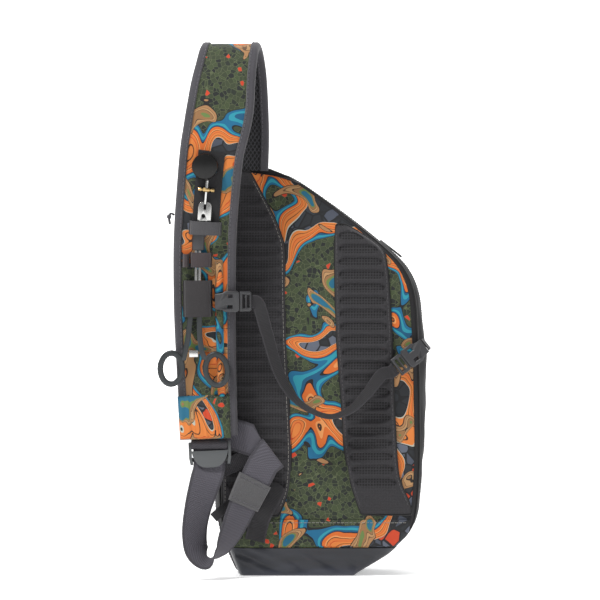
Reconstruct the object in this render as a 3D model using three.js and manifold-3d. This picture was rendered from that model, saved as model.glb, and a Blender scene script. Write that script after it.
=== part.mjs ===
import * as THREE from 'three';
import { mergeVertices } from 'three/addons/utils/BufferGeometryUtils.js';
import Module from 'manifold-3d';

// Fishing tackle sling bag, in millimetres. +Z is up, -Y is the wearer's back
// side, and the origin is the centre of the flat base that the bag stands on.

// Clearances
const GAP = 0.35;
const SEAM_GAP = 0.4;
const SEAT_STEPS = 8;

// Main body
const BODY_HEIGHT = 492;
const BODY_RIGHT = 158;
const BODY_LEFT = 108;
const BODY_DEPTH = 140;
const BASE_HALF_WIDTH = 70;
const WALL = 3;
const GUSSET_SHOW = 13;
const BACK_CROWN = 4;
const FRONT_CROWN = 8;
const BASE_SEAM_HEIGHT = 34;
const BACK_SEAM_DEPTH = 7;
const FRONT_SEAM_DEPTH = 34;
const ZIP_WIDTH = 9;
const SLIDER_LENGTH = 16;
const SLIDER_WIDTH = 10;
const SLIDER_HEIGHT = 4;
const SLIDER_PULL_LENGTH = 22;
const SLIDER_SHARE = 0.83;

// Bottle pocket, a sleeve that lies across the bottom with its mouth at the left
const SLEEVE_BORE = 84;
const SLEEVE_WALL = 1.6;
const SLEEVE_END_X = 56;
const SLEEVE_Y = 4;
const SLEEVE_LIFT = 5.5;
const MOUTH_BINDING_WIDTH = 4;
const MOUTH_BINDING_THICK = 2;

// Back pads and the printed band under them
const PAD_THICK = 12;
const PAD_EDGE = 8;
const RIB_DEPTH = 1.6;
const RIB_PITCH = 15.6;
const BAND_TOP = 68;
const BAND_THICK = 1.4;

// Shoulder strap
const STRAP_TOP = 635;
const STRAP_REACH = 109.4;
const STRAP_STANDOFF = 119;
const STRAP_WIDTH = 76;
const STRAP_CORE = 8;
const BINDING_WIDTH = 10;
const BINDING_THICK = 1.2;

// Tool dock on the strap
const DOCK_TOP = 509;
const DOCK_BOTTOM = 416;
const DOCK_WIDTH = 32;
const DOCK_THICK = 2;
const REEL_DIAMETER = 31;
const REEL_THICK = 12;
const REEL_HEIGHT = 491;
const REEL_OFFSET = -6;
const NIPPER_TOP = 449;
const NIPPER_LENGTH = 27;
const NIPPER_WIDTH = 15.6;
const NIPPER_THICK = 4;
const NIPPER_HOLE = 5;
const NIPPER_OFFSET = -2;
const BEAD_RADIUS = 2.9;
const KEEPER_TOP = 426;
const KEEPER_BOTTOM = 410;
const KEEPER_FOOT = 1.4;
const ELASTIC_TOP = 389;
const ELASTIC_BOTTOM = 371.5;
const ELASTIC_THICK = 1.4;
const LOOP_SEAM = -17.5;
const LOOP_LEFT_WIDTH = 8.8;
const LOOP_RIGHT_WIDTH = 26;
const TOOL_SLEEVE_TOP = 356;
const TOOL_SLEEVE_BOTTOM = 313;
const TOOL_SLEEVE_WIDTH = 35.2;
const TOOL_SLEEVE_OFFSET = -8.2;
const TOOL_SLEEVE_THICK = 1.6;
const RAIL_TOP = 378;
const RAIL_BOTTOM = 214;
const RAIL_WIDTH = 9.6;
const RAIL_HEIGHT = 5;
const RAIL_OFFSET = 17.3;
const TAB_TOP = 212;
const TAB_THICK = 4.5;

// Forceps
const SHANK_WIDTH = 6.4;
const SHANK_THICK = 4.6;
const JAW_WIDTH = 3.4;
const RING_WIDTH = 33;
const RING_HEIGHT = 44;
const RING_WIRE = 7;
const TIP_COVER_WIDTH = 15;
const TIP_COVER_OFFSET = -7.6;
const TIP_COVER_DEPTH = 9;
const FORCEPS_LIFT = 12.4;
const JAW_OFFSET = -9.8;

// Webbing and buckles
const WEB_WIDTH = 38;
const WEB_THICK = 1.8;
const WEB_LOOP_DROP = 148;
const WEB_LOOP_SPAN = 66;
const WEB_LOOP_DEPTH = 30;
const ANCHOR_WEB_WIDTH = 24;
const SIDE_WEB_WIDTH = 15.5;
const SIDE_WEB_THICK = 1.6;
const SIDE_WEB_SAG = 64;
const ELASTIC_BAND_WIDTH = 20;
const SIDE_STRIP_WIDTH = 12;
const LOCK_WIDTH = 50;
const LOCK_BAR = 5;
const ROLL_DIAMETER = 12.5;
const ROLL_WALL = 1.8;
const TONGUE_HEIGHT = 20;
const TONGUE_THICK = 3;
const BUCKLE_WIDTH = 25;
const BUCKLE_THICK = 8;
const BUCKLE_LENGTH = 29;
const ADJUSTER_LENGTH = 14;
const RAIL_BUCKLE_HEIGHT = 331;
const SIDE_BUCKLE_HEIGHT = 257;
const SIDE_BUCKLE_TURN = 0.66;
const BUCKLE_BEVEL = 0.7;

// Outline of the body seen from the back, from the neck round by the right,
// the base and the left. "across" is a share of BODY_RIGHT or BODY_LEFT, "up"
// of BODY_HEIGHT, and "seam" of GUSSET_SHOW, the gusset seen past the panel.
const OUTLINE = [
  { across: -0.315, up: 1.0, seam: 0.25 },
  { across: -0.084, up: 0.985, seam: 0.25 },
  { across: 0.253, up: 0.915, seam: 0.3 },
  { across: 0.47, up: 0.864, seam: 0.4 },
  { across: 0.677, up: 0.811, seam: 0.4 },
  { across: 0.885, up: 0.745, seam: 0.7 },
  { across: 0.955, up: 0.68, seam: 0.8 },
  { across: 0.975, up: 0.605, seam: 0.85 },
  { across: 1.0, up: 0.532, seam: 1.0 },
  { across: 0.995, up: 0.432, seam: 0.85 },
  { across: 0.989, up: 0.334, seam: 0.65 },
  { across: 0.973, up: 0.237, seam: 0.55 },
  { across: 0.937, up: 0.144, seam: 0.4 },
  { across: 0.886, up: 0.105, seam: 0.3 },
  { across: 0.701, up: 0.046, seam: 0.25 },
];
const LEFT_EDGE = [
  { across: 0.84, up: 0.1, seam: 0.3 },
  { across: 0.91, up: 0.19, seam: 0.4 },
  { across: 0.9, up: 0.43, seam: 0.4 },
  { across: 0.92, up: 0.675, seam: 0.4 },
  { across: 0.955, up: 0.85, seam: 0.35 },
  { across: 1.0, up: 1.0, seam: 0.25 },
];

// Side profile. "up" is a share of BODY_HEIGHT, "back" and "front" of BODY_DEPTH.
const PROFILE = [
  { up: 0, back: -0.415, front: 0.415 },
  { up: 0.12, back: -0.465, front: 0.5 },
  { up: 0.33, back: -0.475, front: 0.525 },
  { up: 0.56, back: -0.45, front: 0.45 },
  { up: 0.78, back: -0.395, front: 0.24 },
  { up: 0.92, back: -0.35, front: 0.03 },
  { up: 1.0, back: -0.32, front: -0.12 },
];

// Rings that the body's skin is lofted through, from back to front. "deep" is a
// share of the depth at that height, "seam" of the gusset's show, "inset" is in
// shares of GUSSET_SHOW, and "shrink" scales the outline about its middle.
const SKIN = [
  { deep: 0, seam: 2.2, inset: 0.9, shrink: 0.5, crown: -1 },
  { deep: 0, seam: 1.0, inset: 1.6, shrink: 1, crown: -0.25 },
  { deep: 0.015, seam: 1.0, inset: 0.3, shrink: 1, crown: 0 },
  { deep: 0.07, seam: 0.75, inset: 0, shrink: 1, crown: 0 },
  { deep: 0.17, seam: 0.25, inset: 0, shrink: 1, crown: 0 },
  { deep: 0.34, seam: 0, inset: 0, shrink: 1, crown: 0 },
  { deep: 0.66, seam: 0, inset: 0, shrink: 1, crown: 0 },
  { deep: 0.86, seam: 0, inset: 0.35, shrink: 1, crown: 0 },
  { deep: 0.965, seam: 0, inset: 1.1, shrink: 1, crown: 0 },
  { deep: 1, seam: 0, inset: 1.2, shrink: 0.9, crown: 0.1 },
  { deep: 1, seam: 0, inset: 1.2, shrink: 0.5, crown: 1 },
];

// Centre line of the strap from the bag's neck over the arch to its lower end.
// "across" is a share of STRAP_REACH, "out" of STRAP_STANDOFF, "up" of
// STRAP_TOP and "wide" of STRAP_WIDTH.
const STRAP_PATH = [
  { across: 0.65, out: 0.32, up: 0.7765, wide: 0.97 },
  { across: 0.65, out: 0.335, up: 0.835, wide: 1.0 },
  { across: 0.66, out: 0.37, up: 0.898, wide: 1.0 },
  { across: 0.67, out: 0.437, up: 0.951, wide: 0.97 },
  { across: 0.69, out: 0.555, up: 0.987, wide: 0.93 },
  { across: 0.713, out: 0.706, up: 1.0, wide: 0.9 },
  { across: 0.736, out: 0.85, up: 0.989, wide: 0.92 },
  { across: 0.768, out: 0.95, up: 0.957, wide: 0.95 },
  { across: 0.8, out: 0.992, up: 0.921, wide: 1.01 },
  { across: 0.827, out: 1.0, up: 0.882, wide: 1.06 },
  { across: 0.868, out: 0.992, up: 0.844, wide: 1.04 },
  { across: 0.914, out: 0.971, up: 0.806, wide: 1.0 },
  { across: 0.96, out: 0.933, up: 0.731, wide: 0.985 },
  { across: 0.996, out: 0.899, up: 0.638, wide: 0.985 },
  { across: 1.0, out: 0.874, up: 0.523, wide: 0.98 },
  { across: 0.992, out: 0.853, up: 0.444, wide: 0.955 },
  { across: 0.976, out: 0.836, up: 0.359, wide: 0.92 },
  { across: 0.96, out: 0.828, up: 0.296, wide: 0.905 },
  { across: 0.953, out: 0.824, up: 0.268, wide: 0.895 },
];
const STRAP_ARCH_ROW = 5;

// Back pads, from the top down. "up" is a share of BODY_HEIGHT, "left" and
// "right" are shares of BODY_RIGHT to the right of the origin and to its left.
const LEFT_PAD = [
  { up: 0.992, left: -0.655, right: -0.36 },
  { up: 0.91, left: -0.625, right: -0.222 },
  { up: 0.829, left: -0.6, right: -0.092 },
  { up: 0.6, left: -0.57, right: -0.082 },
  { up: 0.334, left: -0.56, right: -0.042 },
  { up: 0.223, left: -0.565, right: -0.04 },
  { up: 0.18, left: -0.565, right: -0.085 },
  { up: 0.147, left: -0.565, right: -0.14 },
];
const RIGHT_PAD = [
  { up: 0.862, left: 0.3, right: 0.37 },
  { up: 0.834, left: 0.292, right: 0.52 },
  { up: 0.802, left: 0.29, right: 0.668 },
  { up: 0.734, left: 0.291, right: 0.7 },
  { up: 0.6, left: 0.299, right: 0.724 },
  { up: 0.43, left: 0.34, right: 0.74 },
  { up: 0.303, left: 0.363, right: 0.758 },
  { up: 0.239, left: 0.4, right: 0.775 },
  { up: 0.171, left: 0.468, right: 0.87 },
  { up: 0.15, left: 0.492, right: 0.88 },
];
const LEFT_PAD_STEPS = 14;
const PAD_RIB_SHARE = 0.84;

// The adjusting webbing's loop, from the buckle down, round and up to the bag's
// left edge. "across" is a share of WEB_LOOP_SPAN, "down" of WEB_LOOP_DROP and
// "back" of WEB_LOOP_DEPTH, all from the strap's lower end; "wx", "wy" and "wz"
// say which way the webbing's width points. At LOOP_FOLD the webbing is folded
// over a slanting crease, and LOOP_TAIL leads it behind the strap.
const WEB_LOOP = [
  { across: 0, down: 0.125, back: 0, wx: 1, wy: 0, wz: 0 },
  { across: 0, down: 0.26, back: -0.02, wx: 1, wy: 0.02, wz: -0.05 },
  { across: -0.09, down: 0.4, back: -0.25, wx: 0.92, wy: 0.35, wz: -0.05 },
  { across: -0.2, down: 0.58, back: -0.4, wx: 0.82, wy: 0.55, wz: 0 },
  { across: -0.26, down: 0.78, back: -0.35, wx: 0.74, wy: 0.64, wz: 0.1 },
  { across: -0.21, down: 0.92, back: -0.3, wx: 0.64, wy: 0.7, wz: 0.25 },
  { across: -0.02, down: 0.99, back: -0.2, wx: 0.5, wy: 0.78, wz: 0.3 },
  { across: 0.19, down: 0.93, back: -0.1, wx: 0.46, wy: 0.8, wz: 0.1 },
  { across: 0.38, down: 0.79, back: 0, wx: 0.6, wy: 0.66, wz: -0.2 },
  { across: 0.55, down: 0.62, back: 0.04, wx: 0.74, wy: 0.5, wz: -0.38 },
  { across: 0.72, down: 0.455, back: 0.06, wx: 0.83, wy: 0.32, wz: -0.44 },
  { across: 0.86, down: 0.33, back: 0.1, wx: 0.87, wy: 0.16, wz: -0.46 },
  { across: 0.965, down: 0.235, back: 0.14, wx: 0.88, wy: 0, wz: -0.47 },
];
const LOOP_FOLD = { across: 1.13, down: 0.145, back: 0.15, skew: 1.11, turn: 1.6 };
const LOOP_TAIL = [
  { across: 0.72, down: 0.03, back: 0.33 },
  { across: 0.42, down: -0.01, back: 0.38 },
  { across: 0.2, down: -0.01, back: 0.38 },
];
const KEEPER_FROM_ROW = 9.35;
const KEEPER_TO_ROW = 10.8;
const KEEPER_MARGIN = 5;
const KEEPER_BULK = 4;

const wasm = await Module();
wasm.setup();

const bag = new THREE.Group();
const COLOURS = {
  print: ['#5d6a44', 0.75, 0],
  pad: ['#4a484c', 0.9, 0],
  gusset: ['#3b3a3d', 0.8, 0],
  binding: ['#57555b', 0.85, 0],
  mesh: ['#232326', 0.95, 0],
  base: ['#3d4049', 0.55, 0],
  webbing: ['#5c5963', 0.85, 0],
  elastic: ['#49474b', 0.9, 0],
  plastic: ['#4b4b4e', 0.5, 0],
  black: ['#0c0c0c', 0.45, 0],
  coated: ['#44484a', 0.45, 0.3],
  steel: ['#c9c9c7', 0.25, 1],
  brass: ['#b79a68', 0.35, 0.9],
};

function addPart(name, geometry, colour) {
  const [hex, roughness, metalness] = COLOURS[colour];
  const material = new THREE.MeshStandardMaterial({ color: hex, roughness, metalness });
  const mesh = new THREE.Mesh(geometry, material);
  mesh.name = name;
  bag.add(mesh);
  return mesh;
}

// Meshes and solids

function signedVolume(points, faces) {
  let volume = 0;
  for (const [a, b, c] of faces) {
    volume += points[a].dot(new THREE.Vector3().crossVectors(points[b], points[c])) / 6;
  }
  return volume;
}

function meshOf(points, faces) {
  const outward = signedVolume(points, faces) > 0;
  const geometry = new THREE.BufferGeometry();
  geometry.setAttribute('position', new THREE.Float32BufferAttribute(
    points.flatMap((p) => [p.x, p.y, p.z]), 3));
  geometry.setIndex(faces.flatMap(([a, b, c]) => (outward ? [a, b, c] : [a, c, b])));
  return geometry;
}

// A skin through rings of equal count, with a flat or fanned cap at each end.
function loft(rings, capFaces) {
  const count = rings[0].length;
  const points = rings.flat();
  const faces = [];
  for (let r = 0; r + 1 < rings.length; r += 1) {
    for (let i = 0; i < count; i += 1) {
      const a = r * count + i;
      const b = r * count + (i + 1) % count;
      faces.push([a, b, b + count], [a, b + count, a + count]);
    }
  }
  const ends = [[0, true], [(rings.length - 1) * count, false]];
  for (const [start, first] of ends) {
    if (capFaces) {
      for (const [a, b, c] of capFaces) {
        faces.push(first ? [start + a, start + c, start + b] : [start + a, start + b, start + c]);
      }
    } else {
      const ring = points.slice(start, start + count);
      const middle = ring.reduce((sum, p) => sum.add(p), new THREE.Vector3());
      points.push(middle.divideScalar(count));
      const hub = points.length - 1;
      for (let i = 0; i < count; i += 1) {
        const a = start + i;
        const b = start + (i + 1) % count;
        faces.push(first ? [hub, b, a] : [hub, a, b]);
      }
    }
  }
  return meshOf(points, faces);
}

// A section of (u, v) points carried along frames of place, u axis and v axis.
function sweep(frames, sectionAt) {
  const rings = frames.map((frame, i) => sectionAt(frame, i).map(([u, v]) => frame.place.clone()
    .addScaledVector(frame.across, u)
    .addScaledVector(frame.out, v)));
  const flat = sectionAt(frames[0], 0).map(([u, v]) => new THREE.Vector2(u, v));
  const clockwise = THREE.ShapeUtils.isClockWise(flat);
  const caps = THREE.ShapeUtils.triangulateShape(flat, []);
  return loft(rings, clockwise ? caps.map(([a, b, c]) => [a, c, b]) : caps);
}

function solidOf(geometry) {
  const bare = geometry.clone();
  bare.deleteAttribute('normal');
  bare.deleteAttribute('uv');
  const merged = mergeVertices(bare, 1e-4);
  return new wasm.Manifold(new wasm.Mesh({
    numProp: 3,
    vertProperties: new Float32Array(merged.attributes.position.array),
    triVerts: new Uint32Array(merged.index.array),
  }));
}

function geometryOf(solid) {
  const mesh = solid.getMesh();
  const geometry = new THREE.BufferGeometry();
  geometry.setAttribute('position', new THREE.BufferAttribute(mesh.vertProperties, 3));
  geometry.setIndex(new THREE.BufferAttribute(mesh.triVerts, 1));
  return geometry;
}

function largest(solid) {
  const pieces = solid.decompose();
  return pieces.reduce((best, piece) => (piece.volume() > best.volume() ? piece : best));
}

function box(x0, x1, y0, y1, z0, z1) {
  const geometry = new THREE.BoxGeometry(x1 - x0, y1 - y0, z1 - z0);
  geometry.translate((x0 + x1) / 2, (y0 + y1) / 2, (z0 + z1) / 2);
  return solidOf(geometry);
}

// A piece moved along a direction until it lies GAP clear of what carries it.
function seated(piece, carrier, direction) {
  let moved = piece;
  for (let i = 0; i < SEAT_STEPS; i += 1) {
    const clear = moved.minGap(carrier, BODY_DEPTH) - GAP;
    moved = moved.translate(direction.map((d) => d * clear));
  }
  return moved;
}

// A lathe shape whose axis is turned from +Y to the given direction.
function turned(profile, sides, place, axis) {
  const geometry = new THREE.LatheGeometry(profile.map(([r, h]) => new THREE.Vector2(r, h)), sides);
  const turn = new THREE.Quaternion().setFromUnitVectors(new THREE.Vector3(0, 1, 0), axis);
  geometry.applyQuaternion(turn);
  geometry.translate(place.x, place.y, place.z);
  const bare = geometry.clone();
  bare.deleteAttribute('normal');
  bare.deleteAttribute('uv');
  return mergeVertices(bare, 1e-4);
}

function rowValue(rows, key, at, by) {
  let i = 0;
  const rising = rows[rows.length - 1][by] > rows[0][by];
  const past = (row) => (rising ? row[by] <= at : row[by] >= at);
  while (i + 2 < rows.length && past(rows[i + 1])) {
    i += 1;
  }
  const share = (at - rows[i][by]) / (rows[i + 1][by] - rows[i][by]);
  return rows[i][key] + (rows[i + 1][key] - rows[i][key]) * THREE.MathUtils.clamp(share, 0, 1);
}

// Body

function smoothRows(rows, columns, count) {
  const first = new THREE.CatmullRomCurve3(
    rows.map((row) => new THREE.Vector3(...columns.map((key) => row[key]))), false, 'centripetal');
  return Array.from({ length: count }, (_, i) => first.getPoint(i / (count - 1)));
}

function bodyOutline() {
  const right = smoothRows(OUTLINE, ['across', 'up', 'seam'], 22).map((p) => ({
    x: p.x * (p.x > 0 ? BODY_RIGHT : BODY_LEFT),
    z: p.y * BODY_HEIGHT,
    seam: p.z * GUSSET_SHOW,
  }));
  const left = smoothRows(LEFT_EDGE, ['across', 'up', 'seam'], 8).map((p) => ({
    x: -p.x * BODY_LEFT,
    z: p.y * BODY_HEIGHT,
    seam: p.z * GUSSET_SHOW,
  }));
  const base = [1, 0.5, 0, -0.5, -1].map((share) => ({
    x: share * BASE_HALF_WIDTH,
    z: 0,
    seam: 0.25 * GUSSET_SHOW,
  }));
  const neckMiddle = {
    x: (left[left.length - 1].x + right[0].x) / 2,
    z: BODY_HEIGHT,
    seam: right[0].seam,
  };
  return [...right, ...base, ...left, neckMiddle];
}

const outline = bodyOutline();
const outlineMiddle = new THREE.Vector2(0.16 * BODY_RIGHT, 0.45 * BODY_HEIGHT);

function outlineNormal(i) {
  const before = outline[(i + outline.length - 1) % outline.length];
  const after = outline[(i + 1) % outline.length];
  return new THREE.Vector2(after.z - before.z, before.x - after.x).normalize();
}

const backAt = (z) => rowValue(PROFILE, 'back', z / BODY_HEIGHT, 'up') * BODY_DEPTH;
const frontAt = (z) => rowValue(PROFILE, 'front', z / BODY_HEIGHT, 'up') * BODY_DEPTH;

// The body as one closed solid, moved in by "inward" (or out, below zero).
function bodySolid(inward) {
  const rings = SKIN.map((ring) => outline.map((point, i) => {
    const normal = outlineNormal(i);
    const inset = ring.seam * point.seam + ring.inset * GUSSET_SHOW;
    let x = point.x + normal.x * (inset + inward);
    let z = point.z + normal.y * (inset + inward);
    x = outlineMiddle.x + (x - outlineMiddle.x) * ring.shrink;
    z = outlineMiddle.y + (z - outlineMiddle.y) * ring.shrink;
    if (point.z === 0 && ring.shrink === 1 && inset < GUSSET_SHOW * 1.2) {
      z = inward;
    }
    z = Math.max(z, inward);
    const back = backAt(z) + inward;
    const front = frontAt(z) - inward;
    const crown = ring.crown < 0 ? ring.crown * BACK_CROWN : ring.crown * FRONT_CROWN;
    return new THREE.Vector3(x, back + (front - back) * ring.deep + crown, z);
  }));
  return solidOf(loft(rings));
}

// Everything in front of a surface that follows the body's back or front face.
function beyond(surfaceAt, sign) {
  const heights = [-0.2, 0, 0.12, 0.33, 0.56, 0.78, 0.92, 1.2].map((share) => share * BODY_HEIGHT);
  const far = sign * BODY_DEPTH * 2;
  const rings = heights.map((z) => [
    new THREE.Vector3(-2 * BODY_LEFT, surfaceAt(z), z),
    new THREE.Vector3(2 * BODY_RIGHT, surfaceAt(z), z),
    new THREE.Vector3(2 * BODY_RIGHT, far, z),
    new THREE.Vector3(-2 * BODY_LEFT, far, z),
  ]);
  return solidOf(loft(rings));
}

const skin = bodySolid(0);
const skinClear = bodySolid(-GAP);
const sleeveZ = SLEEVE_LIFT + SLEEVE_BORE / 2 + SLEEVE_WALL;
const sleeveOuter = SLEEVE_BORE / 2 + SLEEVE_WALL;
const alongX = new THREE.Vector3(1, 0, 0);
const pocketStart = new THREE.Vector3(-1.4 * BODY_LEFT, SLEEVE_Y, sleeveZ);

function cylinderX(radius, from, to, sides) {
  return solidOf(turned([[0, 0], [radius, 0], [radius, to - from], [0, to - from]], sides,
    new THREE.Vector3(from, SLEEVE_Y, sleeveZ), alongX));
}

function buildBody() {
  const mouth = cylinderX(sleeveOuter + GAP, pocketStart.x, -0.2 * BODY_LEFT, 28);
  const shell = skin.subtract(bodySolid(WALL)).subtract(mouth);
  const wide = [-2 * BODY_LEFT, 2 * BODY_RIGHT, -BODY_DEPTH, BODY_DEPTH];
  const low = box(...wide, -10, BASE_SEAM_HEIGHT - SEAM_GAP / 2);
  const high = box(...wide, BASE_SEAM_HEIGHT + SEAM_GAP / 2, 2 * BODY_HEIGHT);
  const behindSeam = beyond((z) => backAt(z) + BACK_SEAM_DEPTH - SEAM_GAP / 2, -1);
  const pastSeam = beyond((z) => backAt(z) + BACK_SEAM_DEPTH + SEAM_GAP / 2, 1);
  const frontSeam = (z) => Math.max(frontAt(z) - FRONT_SEAM_DEPTH, (backAt(z) + frontAt(z)) / 2);
  const beforeZip = beyond((z) => frontSeam(z) - ZIP_WIDTH - SEAM_GAP, -1);
  const afterZipBack = beyond((z) => frontSeam(z) - ZIP_WIDTH, 1);
  const beforeZipFront = beyond((z) => frontSeam(z), -1);
  const afterZip = beyond((z) => frontSeam(z) + SEAM_GAP, 1);
  const upper = shell.intersect(high);
  addPart('base_panel', geometryOf(largest(shell.intersect(low))), 'base');
  addPart('back_panel', geometryOf(largest(upper.intersect(behindSeam))), 'print');
  addPart('gusset', geometryOf(largest(upper.intersect(pastSeam).intersect(beforeZip))), 'gusset');
  addPart('main_zipper', geometryOf(largest(
    upper.intersect(afterZipBack).intersect(beforeZipFront))), 'gusset');
  addPart('front_panel', geometryOf(largest(upper.intersect(afterZip))), 'print');
}

function buildZipSlider() {
  const z = SLIDER_SHARE * BODY_HEIGHT;
  const seamY = Math.max(frontAt(z) - FRONT_SEAM_DEPTH, (backAt(z) + frontAt(z)) / 2);
  const point = outline.find((p) => p.x > 0 && p.z < z);
  const along = new THREE.Vector3(0.78, 0, -0.62);
  const out = new THREE.Vector3(0.62, 0, 0.78);
  const place = new THREE.Vector3(point.x, seamY - ZIP_WIDTH / 2, point.z).addScaledVector(out, -1);
  const frames = [-0.5, 0.5].map((share) => ({
    place: place.clone().addScaledVector(along, share * SLIDER_LENGTH),
    across: new THREE.Vector3(0, 1, 0),
    out,
  }));
  const half = SLIDER_WIDTH / 2;
  const top = SLIDER_HEIGHT;
  const body = solidOf(sweep(frames, () => [
    [-half, -top], [half, -top], [half, top * 0.6],
    [half * 0.5, top], [-half * 0.5, top], [-half, top * 0.6],
  ]));
  const pullFrames = [0.1, 0.55, 1].map((share) => ({
    place: place.clone().addScaledVector(along, SLIDER_LENGTH * 0.2 + share * SLIDER_PULL_LENGTH)
      .addScaledVector(out, top * 0.75),
    across: new THREE.Vector3(0, 1, 0),
    out,
  }));
  const pull = solidOf(sweep(pullFrames, () => [[-2.2, -1.2], [2.2, -1.2], [2.2, 1.2], [-2.2, 1.2]]));
  addPart('zip_slider', geometryOf(largest(body.add(pull).subtract(skinClear))), 'plastic');
}

function buildBottlePocket() {
  const bore = SLEEVE_BORE / 2;
  const length = SLEEVE_END_X - pocketStart.x;
  const tube = solidOf(turned([
    [bore, 0], [sleeveOuter, 0], [sleeveOuter, length - 8], [sleeveOuter - 8, length], [0, length],
    [0, length - SLEEVE_WALL], [bore - 7, length - SLEEVE_WALL], [bore, length - 8], [bore, 0],
  ], 28, pocketStart, alongX));
  addPart('bottle_sleeve', geometryOf(tube.intersect(bodySolid(-MOUTH_BINDING_THICK))), 'print');
  const ringOuter = sleeveOuter + GAP + MOUTH_BINDING_WIDTH;
  const washer = cylinderX(ringOuter, pocketStart.x, -0.2 * BODY_LEFT, 28)
    .subtract(cylinderX(sleeveOuter + GAP, pocketStart.x - 1, 0, 28));
  const rim = washer.intersect(bodySolid(-MOUTH_BINDING_THICK)).subtract(skinClear)
    .intersect(box(-2 * BODY_LEFT, 0, -BODY_DEPTH, BODY_DEPTH, 0, BODY_HEIGHT));
  addPart('pocket_binding', geometryOf(largest(rim)), 'binding');
}

// Back pads: rows across the body, each a low arch standing on the back panel

function buildPad(name, rows, steps, ribs) {
  const top = rows[0].up * BODY_HEIGHT;
  const bottom = rows[rows.length - 1].up * BODY_HEIGHT;
  const frames = [];
  for (let i = 0; i <= steps; i += 1) {
    const z = top + (bottom - top) * i / steps;
    const place = new THREE.Vector3(0, backAt(z), z);
    frames.push({ place, across: alongX, out: new THREE.Vector3(0, -1, 0) });
  }
  const solid = solidOf(sweep(frames, (frame, i) => {
    const share = frame.place.z / BODY_HEIGHT;
    const left = rowValue(rows, 'left', share, 'up') * BODY_RIGHT;
    const right = rowValue(rows, 'right', share, 'up') * BODY_RIGHT;
    const end = Math.min(i, steps - i);
    const lift = PAD_THICK * (end === 0 ? 0.5 : end === 1 ? 0.86 : 1);
    const rib = ribs && end > 1 && i / steps < PAD_RIB_SHARE ? (i % 2) * RIB_DEPTH : 0;
    const edge = Math.min(PAD_EDGE, (right - left) / 4);
    return [
      [left, -WALL], [left, lift * 0.55],
      [left + edge * 0.4, lift * 0.9], [left + edge * 1.6, lift - rib],
      [right - edge * 1.6, lift - rib], [right - edge * 0.4, lift * 0.9],
      [right, lift * 0.55], [right, -WALL],
    ];
  }));
  const pad = largest(solid.subtract(skinClear));
  addPart(name, geometryOf(pad), 'pad');
  return pad;
}

function buildLowerBand() {
  const low = BASE_SEAM_HEIGHT + 2;
  const seamClear = beyond((z) => backAt(z) + BACK_SEAM_DEPTH * 0.5, -1);
  const zone = box(-0.7 * BODY_LEFT, 0.86 * BODY_RIGHT, -BODY_DEPTH, 0, low, BAND_TOP);
  const band = bodySolid(-GAP - BAND_THICK).subtract(skinClear).intersect(zone).intersect(seamClear);
  addPart('lower_back_band', geometryOf(largest(band)), 'print');
}

// Strap

const strapRows = STRAP_PATH.map((row) => new THREE.Vector3(
  -row.across * STRAP_REACH, -row.out * STRAP_STANDOFF, row.up * STRAP_TOP));
const strapCurve = new THREE.CatmullRomCurve3(strapRows, false, 'centripetal');
const strapStart = BODY_HEIGHT + GAP;

function strapFrame(share) {
  const place = strapCurve.getPoint(share);
  const along = strapCurve.getTangent(share);
  const across = alongX.clone().addScaledVector(along, -along.x).normalize();
  const out = new THREE.Vector3().crossVectors(along, across).normalize();
  const row = share * (STRAP_PATH.length - 1);
  const from = Math.min(Math.floor(row), STRAP_PATH.length - 2);
  const width = THREE.MathUtils.lerp(STRAP_PATH[from].wide, STRAP_PATH[from + 1].wide, row - from);
  return { place, along, across, out, half: width * STRAP_WIDTH / 2 };
}

function limbShare(z) {
  let low = STRAP_ARCH_ROW / (STRAP_PATH.length - 1);
  let high = 1;
  for (let i = 0; i < 40; i += 1) {
    const middle = (low + high) / 2;
    if (strapCurve.getPoint(middle).z > z) {
      low = middle;
    } else {
      high = middle;
    }
  }
  return (low + high) / 2;
}

const limbFrame = (z) => strapFrame(limbShare(z));
const limbFrames = (top, bottom, count) => Array.from({ length: count }, (_, i) => limbFrame(
  top + (bottom - top) * i / (count - 1)));
const onLimb = (z, u, v) => {
  const frame = limbFrame(z);
  return frame.place.clone().addScaledVector(frame.across, u).addScaledVector(frame.out, v);
};
const faceLift = STRAP_CORE / 2;
const bindingLift = faceLift + GAP + BINDING_THICK;

function strapStations() {
  const rows = STRAP_PATH.length - 1;
  const shares = [];
  for (let i = 0; i < rows; i += 1) {
    const bend = i >= 2 && i <= 9;
    shares.push(i / rows);
    if (bend) {
      shares.push((i + 0.5) / rows);
    }
  }
  shares.push(1);
  const frames = shares.map(strapFrame);
  frames[0].place.z = strapStart;
  frames[0].out.set(0, 1, 0);
  frames[0].across.set(1, 0, 0);
  return frames;
}

function buildStrap() {
  const frames = strapStations();
  const coreHalf = (frame) => frame.half - BINDING_THICK - GAP;
  addPart('strap_face', sweep(frames, (frame) => {
    const half = coreHalf(frame);
    return [[-half, GAP / 2], [half, GAP / 2], [half, faceLift - 1], [half - 2, faceLift],
      [-half + 2, faceLift], [-half, faceLift - 1]];
  }), 'print');
  addPart('strap_lining', sweep(frames, (frame) => {
    const half = coreHalf(frame);
    return [[-half, -GAP / 2], [half, -GAP / 2], [half, 1 - faceLift], [half - 2, -faceLift],
      [2 - half, -faceLift], [-half, 1 - faceLift]];
  }), 'mesh');
  const bindings = [['strap_binding_left', -1], ['strap_binding_right', 1]].map(([name, side]) => {
    const binding = sweep(frames, (frame) => {
      const edge = frame.half;
      const inner = edge - BINDING_THICK;
      const lip = edge - BINDING_WIDTH;
      const low = faceLift + GAP;
      return [[lip, low], [lip, bindingLift], [edge, bindingLift - 0.8], [edge, 0.8 - bindingLift],
        [lip, -bindingLift], [lip, -low], [inner, -low], [inner, low]].map(([u, v]) => [side * u, v]);
    });
    addPart(name, binding, 'binding');
    return solidOf(binding);
  });
  return bindings[0];
}

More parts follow.
